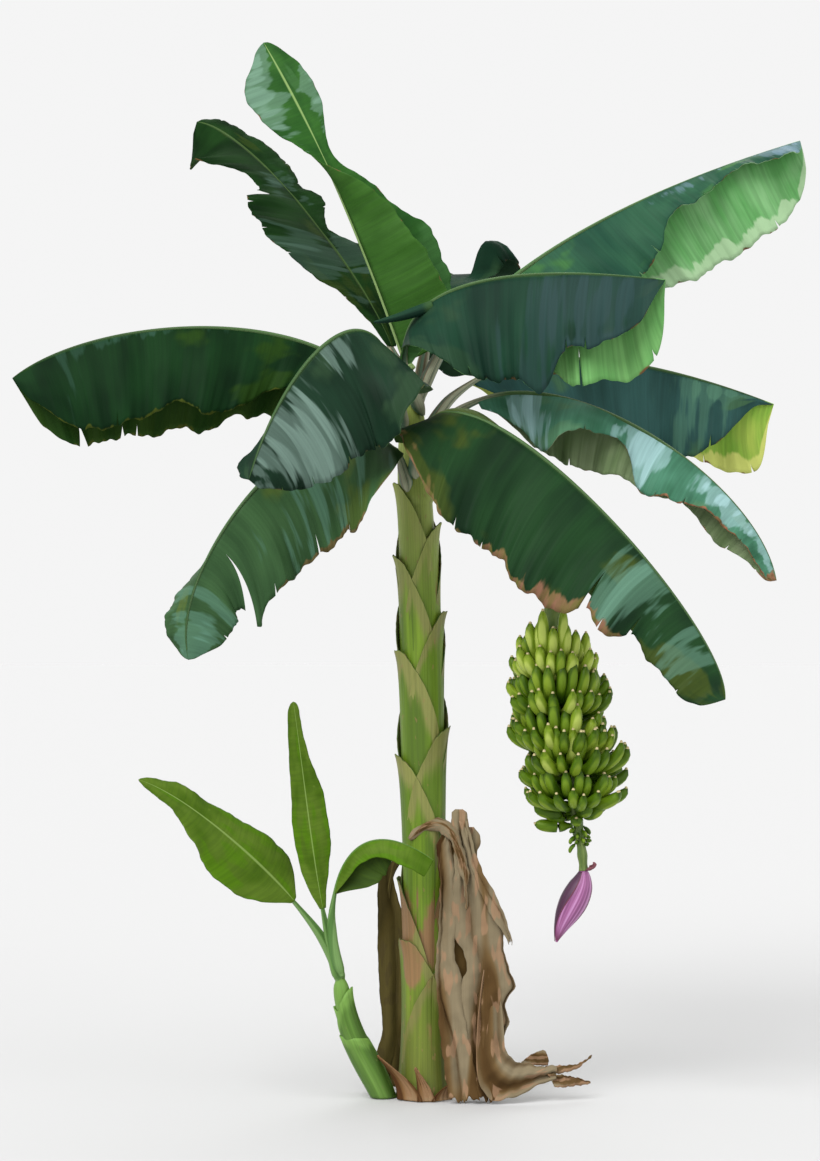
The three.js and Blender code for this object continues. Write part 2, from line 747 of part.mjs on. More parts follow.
for (const [name, leaf] of Object.entries(LEAVES)) {
  addLeaf(name, leaf, PETIOLE_RADII);
}

// The fruiting stalk arches out of the crown, hangs, and carries the bunch
const rachis = bezier(RACHIS_RIB);

// The point of the bunch's stalk at a height.
const onRachis = (height) => {
  let share = 0.5;
  for (let step = 0.25; step > 1e-4; step /= 2) {
    share += rachis.getPoint(share).z > height ? step : -step;
  }
  return rachis.getPoint(share);
};

function finger(hub, turn, reach, rise) {
  const out = new THREE.Vector3(Math.cos(rad(turn)), Math.sin(rad(turn)), 0);
  const point = (r, z) => hub.clone().addScaledVector(out, r).add(new THREE.Vector3(0, 0, z));
  const up = Math.tan(rad(rise)) * reach;
  const curve = new THREE.CubicBezierCurve3(
    point(28, 0),
    point(reach * 0.55, up * 0.05 - 12),
    point(reach * 0.95, up * 0.35),
    point(reach * 0.92, up * 0.95),
  );
  return limb(curve, FINGER_RADII, { sides: 4, steps: 3, face: out });
}

function hand([height, facing, reach, rise]) {
  const fingers = [];
  for (let row = 0; row < 2; row += 1) {
    const hub = onRachis(height - row * ROW_DROP);
    for (let i = 0; i < FINGERS; i += 1) {
      const place = i - (FINGERS - 1) / 2 + row * 0.5 - 0.25;
      const droop = 1 - 0.12 * Math.abs(place);
      const turn = facing + place * (HAND_SPREAD / FINGERS);
      fingers.push(finger(hub, turn, reach * (row ? 1.02 : 0.86), rise * (row ? 0.8 : 1.05) * droop));
    }
  }
  return fuse(fingers);
}

addLimb("fruit_stalk", bezier(STALK_RIB), STALK_RADII, { sides: 9, steps: 8 }, COLOURS.young);
const bunchStalk = limb(rachis, RACHIS_RADII, { a: RACHIS_START, sides: 7, steps: 6 });
addPiece("bunch", fuse([bunchStalk, ...HANDS.map(hand)]), COLOURS.fruit, 0.5);

const budOptions = { a: BUD_START, sides: 12, steps: 10 };
addPiece("bud", limb(bezier(BUD_RIB), BUD_RADII, budOptions), COLOURS.bud, 0.5);

// The sucker stands against the foot of the stem
const FRONT = new THREE.Vector3(0, -1, 0);
const suckerOptions = { sides: 12, steps: 10, face: FRONT };
addLimb("sucker_stem", bezier(SUCKER_RIB), SUCKER_RADII, suckerOptions, COLOURS.young);

for (const [name, leaf] of Object.entries(SUCKER_LEAVES)) {
  addLeaf(name, leaf, SUCKER_PETIOLE_RADII, { across: 4 });
}

// Dry foliage: one old leaf hangs down the right side of the stem on to the ground, and a narrow strip
// hangs behind its left side.
addLeaf("dry_front", DRY_LEAVES.dry_front, DRY_PETIOLE_RADII, { across: 8, roughness: 0.85 });
const dryFront = blade(DRY_LEAVES.dry_front, 0, 1, { across: 8, extra: CLEAR });
keepClear.push(dryFront);
const tailOptions = { across: 2, roughness: 0.85, meets: [dryFront] };
addLeaf("dry_tail", DRY_LEAVES.dry_tail, DRY_PETIOLE_RADII, tailOptions);
addLeaf("dry_back", DRY_LEAVES.dry_back, DRY_PETIOLE_RADII, { across: 2, roughness: 0.85 });

// Short dry scale leaves stand round the foot of the stem: direction in degrees, height, half width in
// degrees, lean of the tip.
for (const [name, [direction, height, reach, lean]] of Object.entries(SCALES)) {
  const made = plate(4, 4, (x, z, face) => {
    const turn = (2 * z - 1) * reach * (1 - 0.85 * x ** 2);
    const radius = stemRadius(0) + GAP + SCALE_THICK * (0.5 + face) + lean * x ** 1.6;
    return stemPoint(height * x, direction + turn, radius);
  });
  const cut = keepClear.reduce((rest, other) => rest.subtract(other), made);
  addPiece(`scale_${name}`, cut, COLOURS.dry, 0.8);
}

export default plant;
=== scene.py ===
# %% [markdown]
# # A fruiting banana plant
# A banana plant has no wood. Its "trunk" is a roll of leaf sheaths, and from the throat of that roll come
# the long leaves and one arching stalk that carries the bunch and ends in a purple bud.
# The solids of the plant are loaded first, because they fix every size and place. Each later cell then
# replaces one kind of solid with a finer mesh that follows the same curve.

# %% Load the solids that fix every size
import math

import bmesh
import bpy
import numpy as np
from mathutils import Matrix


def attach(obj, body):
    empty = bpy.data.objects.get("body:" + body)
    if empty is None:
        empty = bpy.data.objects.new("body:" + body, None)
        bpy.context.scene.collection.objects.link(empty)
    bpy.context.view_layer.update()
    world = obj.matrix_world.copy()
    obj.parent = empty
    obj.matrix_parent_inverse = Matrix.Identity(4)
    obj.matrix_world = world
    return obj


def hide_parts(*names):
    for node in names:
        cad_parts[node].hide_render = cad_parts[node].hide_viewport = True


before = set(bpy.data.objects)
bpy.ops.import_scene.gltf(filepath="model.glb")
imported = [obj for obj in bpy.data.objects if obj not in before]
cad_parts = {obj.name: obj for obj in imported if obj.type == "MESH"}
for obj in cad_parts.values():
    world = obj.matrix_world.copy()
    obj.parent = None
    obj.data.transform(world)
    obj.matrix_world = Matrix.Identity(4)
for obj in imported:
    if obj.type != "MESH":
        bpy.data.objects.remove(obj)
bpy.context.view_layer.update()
MM = 0.001
FULL_TURN = 6.283
ANY_PHASE = (0, 6.28)
chance = np.random.default_rng(11)

# %% [markdown]
# ## The camera
# The picture is seen from the front, level with the middle of the plant, from about eleven metres. A long
# lens keeps the leaves that come towards the viewer from looking too large.

# %% Place the camera
CAMERA_PLACE = (-0.063, -11.513, 2.165)
lens = bpy.data.cameras.new("camera")
lens.lens = 85
lens.sensor_width = 36
camera = bpy.data.objects.new("camera", lens)
camera.location = CAMERA_PLACE
camera.rotation_euler = (math.radians(90), 0, 0)
bpy.context.scene.collection.objects.link(camera)
bpy.context.scene.camera = camera
print("camera", CAMERA_PLACE, "lens", lens.lens)

# %% [markdown]
# ## Light and floor
# Waxy leaves need broad, soft light: a small lamp would give them hard white spots. Three wide suns stand
# for the windows of a studio, and they light the floor evenly however far it reaches. A pale surrounding
# light fills the shadows. The standard view keeps colours as they are mixed.

# %% Set up the studio
def soft_sun(name, place, power, width):
    lamp = bpy.data.lights.new(name, "SUN")
    lamp.energy = power
    lamp.angle = math.radians(width)
    holder = bpy.data.objects.new(name, lamp)
    holder.location = place
    flat = math.hypot(place[0], place[1])
    holder.rotation_euler = (math.atan2(flat, place[2]), 0, math.atan2(place[0], -place[1]))
    bpy.context.scene.collection.objects.link(holder)


soft_sun("key_sun", (-5.0, -7.0, 8.0), 2.6, 42)
soft_sun("fill_sun", (7.0, -6.0, 4.0), 0.5, 40)
soft_sun("back_sun", (2.0, 8.0, 7.0), 0.7, 40)

world = bpy.data.worlds.new("studio")
world.use_nodes = True
world.node_tree.nodes["Background"].inputs["Color"].default_value = (0.98, 0.98, 0.98, 1)
world.node_tree.nodes["Background"].inputs["Strength"].default_value = 0.93
bpy.context.scene.world = world
bpy.context.scene.view_settings.view_transform = "Standard"

FLOOR_RADIUS, FLOOR_GREY = 60, 0.535
floor_mesh = bpy.data.meshes.new("floor")
shape = bmesh.new()
bmesh.ops.create_circle(shape, cap_ends=True, segments=96, radius=FLOOR_RADIUS)
shape.to_mesh(floor_mesh)
shape.free()
floor = bpy.data.objects.new("floor", floor_mesh)
floor.location.z = -0.001
bpy.context.scene.collection.objects.link(floor)
floor_paint = bpy.data.materials.new("pale_floor")
floor_paint.use_nodes = True
floor_shader = floor_paint.node_tree.nodes["Principled BSDF"]
floor_shader.inputs["Base Color"].default_value = (FLOOR_GREY, FLOOR_GREY, FLOOR_GREY, 1)
floor_shader.inputs["Roughness"].default_value = 0.95
floor_shader.inputs["Specular IOR Level"].default_value = 0.1
floor_mesh.materials.append(floor_paint)
print("floor", round(floor.dimensions.x, 1), "m across")

# %% [markdown]
# ## Curves and frames
# Everything on this plant grows along a curve: a stem, a stalk, the rib of a leaf. A cubic curve with four
# points is enough for each. At every place on it a frame of three directions is needed: along the curve,
# out of the upper side, and to the side. A value that changes along the curve, such as a width, is a short
# list of places and values with a smooth line through them.

# %% Profiles, ribs and frames
def profile(points, share):
    """A smooth line through [share, value] pairs."""
    x, y = np.array(points, float).T
    share = np.clip(share, x[0], x[-1])
    last = len(x) - 1
    before, after = np.maximum(np.arange(last + 1) - 1, 0), np.minimum(np.arange(last + 1) + 1, last)
    slope = (y[after] - y[before]) / (x[after] - x[before])
    k = np.clip(np.searchsorted(x, share, side="right") - 1, 0, last - 1)
    w = x[k + 1] - x[k]
    t = (share - x[k]) / w
    return (y[k] * (2 * t**3 - 3 * t**2 + 1) + y[k + 1] * (3 * t**2 - 2 * t**3)
            + w * slope[k] * (t**3 - 2 * t**2 + t) + w * slope[k + 1] * (t**3 - t**2))


def along(value, share):
    return profile(value, share) if isinstance(value, list) else np.full_like(share, float(value))


class Rib:
    """A cubic curve in metres, measured by its own length."""

    def __init__(self, points):
        t = np.linspace(0, 1, 501)[:, None]
        a, b, c, d = np.array(points, float) * MM
        self.line = (1 - t) ** 3 * a + 3 * (1 - t) ** 2 * t * b + 3 * (1 - t) * t**2 * c + t**3 * d
        steps = np.linalg.norm(np.diff(self.line, axis=0), axis=1)
        self.travel = np.concatenate([[0], np.cumsum(steps)])
        self.length = self.travel[-1]

    def at(self, share):
        travelled = np.clip(share, 0, 1) * self.length
        return np.stack([np.interp(travelled, self.travel, self.line[:, k]) for k in range(3)], -1)

    def frames(self, share, face, smooth):
        tangent = self.at(share + smooth) - self.at(share - smooth)
        tangent /= np.linalg.norm(tangent, axis=-1, keepdims=True)
        face = np.array(face, float)
        normal = face - tangent * (tangent @ face)[..., None]
        normal /= np.linalg.norm(normal, axis=-1, keepdims=True)
        return self.at(share), tangent, normal, np.cross(tangent, normal)


stem_rib = Rib([[0, 0, 0], [0, 0, 1100], [-10, 0, 2200], [-65, 0, 3040]])
print("stem length", round(stem_rib.length, 3), "m")

# %% [markdown]
# ## From numbers to a mesh
# A grid of points becomes quads by joining each point to its neighbours. The same helper serves leaves,
# tubes and sheaths. Each grid also carries two numbers for its finish: how far along the grain a point
# lies, and how far across. Grain that is stored on the mesh stays in place when the plant is moved. Two more
# numbers, tone and shine, tell a finish where to change.

# %% Build a piece from grids
WELD_GAP = 2e-5


def grid_faces(rows, columns, first, flip, closed):
    faces = []
    for i in range(rows - 1):
        for j in range(columns if closed else columns - 1):
            k = (j + 1) % columns
            quad = [first + i * columns + j, first + (i + 1) * columns + j,
                    first + (i + 1) * columns + k, first + i * columns + k]
            faces.append(quad[::-1] if flip else quad)
    return faces


class Piece:
    """Collects grids, then turns them into one object that stands for some of the solids."""

    def __init__(self, name):
        self.name, self.points, self.grain, self.tone, self.shine = name, [], [], [], []
        self.faces, self.paint = [], []

    def add(self, points, grain, flip=False, closed=False, paint=0, tone=0.0, shine=0.0):
        rows, columns = points.shape[:2]
        made = grid_faces(rows, columns, len(self.points), flip, closed)
        self.points += points.reshape(-1, 3).tolist()
        self.grain += np.asarray(grain, float).reshape(-1, 2).tolist()
        self.tone += (np.zeros((rows, columns)) + tone).ravel().tolist()
        self.shine += (np.zeros((rows, columns)) + shine).ravel().tolist()
        self.faces += made
        self.paint += [paint] * len(made)

    def cap(self, ring, middle, flip=False, paint=0):
        """Closes a tube's end with a fan from its middle point."""
        first = len(self.points)
        self.points += ring.tolist() + [list(middle)]
        self.grain += [[0.0, 0.0]] * (len(ring) + 1)
        self.tone += [0.0] * (len(ring) + 1)
        self.shine += [0.0] * (len(ring) + 1)
        for j in range(len(ring)):
            fan = [first + j, first + (j + 1) % len(ring), first + len(ring)]
            self.faces.append(fan[::-1] if flip else fan)
            self.paint.append(paint)

    def finish(self, nodes, paints, thickness=0.0, under=0, rim=0):
        mesh = bpy.data.meshes.new(self.name)
        mesh.from_pydata(self.points, [], self.faces)
        layer = mesh.uv_layers.new(name="grain")
        corners = np.zeros(len(mesh.loops), int)
        mesh.loops.foreach_get("vertex_index", corners)
        layer.data.foreach_set("uv", np.array(self.grain)[corners].ravel())
        mesh.attributes.new("tone", "FLOAT", "POINT").data.foreach_set("value", self.tone)
        mesh.attributes.new("shine", "FLOAT", "POINT").data.foreach_set("value", self.shine)
        mesh.polygons.foreach_set("material_index", self.paint)
        mesh.polygons.foreach_set("use_smooth", [True] * len(mesh.polygons))
        shape = bmesh.new()
        shape.from_mesh(mesh)
        bmesh.ops.remove_doubles(shape, verts=shape.verts, dist=WELD_GAP)
        shape.to_mesh(mesh)
        shape.free()
        for paint in paints:
            mesh.materials.append(paint)
        piece = bpy.data.objects.new(self.name, mesh)
        bpy.context.scene.collection.objects.link(piece)
        if thickness:
            shell = piece.modifiers.new("thickness", "SOLIDIFY")
            shell.thickness = thickness
            shell.offset = -1
            shell.material_offset = under
            shell.material_offset_rim = rim
        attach(piece, "root")
        if nodes:
            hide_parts(*nodes)
        print(self.name, len(mesh.polygons), "faces")


# %% [markdown]
# ## Mixing finishes
# Plant surfaces are streaky: colour and gloss change a lot across the veins and little along them. The way
# to paint that is noise stretched along the grain. These helpers make the few kinds of node that every
# finish here is built from, so each finish is then only a handful of lines.

# %% Helpers for finishes
NOISE_CONTRAST = 2.4


def rgb(code):
    """A colour written as six hex digits, as linear red, green and blue."""
    parts = [int(code[i:i + 2], 16) / 255 for i in (0, 2, 4)]
    return [c / 12.92 if c <= 0.04045 else ((c + 0.055) / 1.055) ** 2.4 for c in parts] + [1.0]


class Finish:
    """A material whose colours are built up in layers over the mesh's own grain."""

    def __init__(self, name, roughness, coat=0.0, level=0.5):
        self.material = bpy.data.materials.new(name)
        self.material.use_nodes = True
        self.tree = self.material.node_tree
        self.shader = self.tree.nodes["Principled BSDF"]
        for socket, value in (("Roughness", roughness), ("Coat Weight", coat), ("Coat Roughness", 0.35),
                              ("Specular IOR Level", level)):
            self.shader.inputs[socket].default_value = value
        grain = self.node("ShaderNodeUVMap")
        grain.uv_map = "grain"
        self.grain = grain.outputs["UV"]
        split = self.node("ShaderNodeSeparateXYZ")
        self.join(self.grain, split.inputs[0])
        self.x, self.y = split.outputs[0], split.outputs[1]

    def node(self, kind):
        return self.tree.nodes.new(kind)

    def join(self, a, b):
        self.tree.links.new(a, b)

    def streaks(self, across, lengthwise, detail=3.0, seed=0.0):
        """Noise from 0 to 1, with so many changes per unit of x and of y."""
        place = self.node("ShaderNodeMapping")
        place.inputs["Scale"].default_value = (across, lengthwise, 1)
        place.inputs["Location"].default_value = (seed, seed * 0.7, seed * 1.3)
        self.join(self.grain, place.inputs["Vector"])
        noise = self.node("ShaderNodeTexNoise")
        noise.inputs["Scale"].default_value = 1.0
        noise.inputs["Detail"].default_value = detail
        self.join(place.outputs["Vector"], noise.inputs["Vector"])
        return noise.outputs["Fac"]

    def mark(self, name):
        """A number that each point of the mesh carries: tone or shine."""
        reader = self.node("ShaderNodeAttribute")
        reader.attribute_name = name
        return reader.outputs["Fac"]

    def patch(self, amount, noise, wander=0.5, edge=0.08):
        """A mask that covers where amount is high, with an edge that wanders with the noise."""
        moved = self.math("MULTIPLY", self.math("SUBTRACT", noise, 0.5), wander * NOISE_CONTRAST)
        return self.spread(self.math("ADD", amount, moved), 0.5 - edge, 0.5 + edge)

    def math(self, kind, a, b=0.0):
        made = self.node("ShaderNodeMath")
        made.operation = kind
        for socket, value in zip(made.inputs, (a, b)):
            if isinstance(value, (int, float)):
                socket.default_value = value
            else:
                self.join(value, socket)
        return made.outputs[0]

    def spread(self, value, low, high, to_low=0.0, to_high=1.0):
        made = self.node("ShaderNodeMapRange")
        made.interpolation_type = "SMOOTHSTEP"
        for socket, number in zip(made.inputs[1:5], (low, high, to_low, to_high)):
            socket.default_value = number
        self.join(value, made.inputs[0])
        return made.outputs[0]

    def shades(self, value, *stops):
        """A colour ramp through (place, hex colour) stops."""
        made = self.node("ShaderNodeValToRGB")
        ramp = made.color_ramp
        while len(ramp.elements) < len(stops):
            ramp.elements.new(0.5)
        for element, (place, code) in zip(ramp.elements, stops):
            element.position = place
            element.color = rgb(code)
        self.join(value, made.inputs[0])
        return made.outputs[0]

    def over(self, base, amount, colour):
        """Lays a colour, a hex code or another node's output, over the base where amount is high."""
        made = self.node("ShaderNodeMix")
        made.data_type = "RGBA"
        self.join(amount, made.inputs[0])
        self.join(base, made.inputs[6])
        if isinstance(colour, str):
            made.inputs[7].default_value = rgb(colour)
        else:
            self.join(colour, made.inputs[7])
        return made.outputs[2]

    def relief(self, height, depth):
        made = self.node("ShaderNodeBump")
        made.inputs["Strength"].default_value = 1.0
        made.inputs["Distance"].default_value = depth
        self.join(height, made.inputs["Height"])
        self.join(made.outputs[0], self.shader.inputs["Normal"])

    def colour(self, value):
        self.join(value, self.shader.inputs["Base Color"])
        return self.material


# %% [markdown]
# ## The waxy side and the pale side of a leaf
# The upper side of a banana leaf is deep green. Where its wax would catch the sky, a blue-grey painted
# reflection is mixed into the colour in bands that follow the side veins. The lower side is paler and
# duller, with a floury bloom. The margin dries to a thin brown line, and wider where the wind has worn it.
# One function mixes both sides, and each leaf passes its own greens to it. Two numbers on the mesh say
# where the painted reflection lies and where it is dry.

# %% Leaf finishes
def leaf_paints(name, deep, mid, fresh, painted_sheen_colour, pale, pale_light, dry="6f4f33", rim="4c4424", rib="34502c",
                level=0.06, hem=None):
    upper = Finish(name + "_upper", 0.5, level=level)
    broad = upper.streaks(6.5, 0.9, 2.0, 3.1)
    colour = upper.shades(broad, (0.36, deep), (0.60, mid))
    fresh_patch = upper.spread(upper.streaks(3.1, 1.3, 3.0, 9.4), 0.54, 0.62, 0.0, 0.8)
    colour = upper.over(colour, fresh_patch, fresh)
    # Painted sheen: where the shine number is high, a blue-grey painted reflection of the sky is mixed in, in two
    # strengths.
    painted_sheen_mask = upper.patch(upper.mark("shine"), upper.streaks(15, 0.7, 3.0, 5.7), 0.8)
    colour = upper.over(colour, upper.math("MULTIPLY", painted_sheen_mask, 0.5), painted_sheen_colour)
    strong = upper.patch(upper.math("SUBTRACT", upper.mark("shine"), 0.3), upper.streaks(21, 0.5, 2.0, 2.2), 0.7)
    colour = upper.over(colour, upper.math("MULTIPLY", strong, 0.85), painted_sheen_colour)
    veins = upper.streaks(95, 0.8, 2.0, 1.7)
    colour = upper.over(colour, upper.spread(veins, 0.34, 0.66, 0.14, 0.0), "0d1a12")
    from_rib = upper.math("ABSOLUTE", upper.y)
    colour = upper.over(colour, upper.spread(from_rib, 0.014, 0.05, 0.85, 0.0), rib)
    worn = upper.patch(upper.mark("tone"), upper.streaks(19, 2.2, 3.0, 6.6), 0.6)
    colour = upper.over(colour, worn, upper.shades(upper.streaks(40, 3, 2.0, 1.1), (0.35, dry), (0.7, rim)))
    upper.relief(upper.math("ADD", veins, upper.math("MULTIPLY", broad, 0.8)), 0.0009)
    top = upper.colour(colour)

    lower = Finish(name + "_lower", 0.6, level=min(0.1, 2 * level))
    broad = lower.streaks(8, 0.8, 3.0, 2.3)
    colour = lower.shades(broad, (0.38, pale), (0.66, pale_light))
    veins = lower.streaks(95, 0.8, 2.0, 4.1)
    colour = lower.over(colour, lower.spread(veins, 0.34, 0.66, 0.2, 0.0), "22381c")
    if hem:
        near_margin = lower.spread(lower.math("ABSOLUTE", lower.y), 0.5, 1.0, -0.4, 0.9)
        colour = lower.over(colour, lower.patch(near_margin, lower.streaks(17, 0.75, 3.0, 5.7), 0.7), hem)
    worn = lower.patch(lower.mark("tone"), lower.streaks(19, 2.2, 3.0, 6.6), 0.6)
    colour = lower.over(colour, worn, dry)
    lower.relief(veins, 0.0015)
    return [top, lower.colour(colour)]


# The fourth colour of each pair is its painted sheen, the blue-grey reflection laid over the upper side.
GREENS = {
    "bronze": leaf_paints("bronze", "10240f", "1c3818", "2c3e18", "40584a", "2a4420", "3c5a30", rib="4c6438",
                          level=0.004),
    "shaded": leaf_paints("shaded", "12281c", "1c3828", "263e28", "2c424c", "1a3020", "263e2c", level=0.008),
    "deep": leaf_paints("deep", "0d2311", "153318", "243e12", "2c4a3a", "1c3a10", "344e1c", "46501c", "3a4418",
                        level=0.025),
    "streaked": leaf_paints("streaked", "0e2216", "1a3424", "28402a", "70897e", "35582e", "567448", "5a5a38"),
    "teal": leaf_paints("teal", "2c482a", "3a5a36", "4a5e2a", "58806c", "3f6a3c", "5a8a5c", "6b5f3c"),
    "slate": leaf_paints("slate", "142c22", "1a3a2a", "26402c", "283f3e", "5a9450", "76aa66", level=0.05),
    "high": leaf_paints("high", "1e4434", "2c553e", "3e6e3a", "66808c", "549250", "7cae76", hem="96b68c"),
    "lime": leaf_paints("lime", "1c3834", "2a4c48", "3c5e40", "48705c", "76a63a", "a2b850", hem="bcc468"),
    "bluish": leaf_paints("bluish", "326048", "467860", "507858", "94b8b8", "62784e", "80906c", "8a6048"),
    "sunny": leaf_paints("sunny", "162c1a", "1e3c20", "3c4a1c", "5a806c", "34501c", "4c6a30", "7c5a46", "5c5c2c",
                         level=0.04),
    "spear": leaf_paints("spear", "204a1a", "2f5c22", "366030", "688a74", "2c5418", "3a6424", rib="84a060"),
    "young": leaf_paints("young", "425e14", "546e22", "4a7010", "7e9440", "2a3c10", "3a5018", rib="7c9450",
                         level=0.03),
}
print(len(GREENS), "pairs of leaf finishes")

# %% [markdown]
# ## The leaf blades
# A blade is two halves on one rib. Its side veins run out from the rib to the margin, so the grid is laid
# along them: one column for each few millimetres of rib, one row for each step outwards. A table gives for
# each half its width along the rib, how steeply it hangs, how much it curls under and how far its veins
# sweep forward. Wind tears a blade between its veins, so a tear is simply a place where the outer rows of
# two neighbouring columns aren't the same points: they stand a gap apart, and one side droops a little
# more. The table gives a tear as its place along the rib, its share of the width and its gap in millimetres.
# A lobe is one broad bulge: its place, its reach along the rib and its height. A shell of two millimetres
# over the finished surface gives the blade its second side.

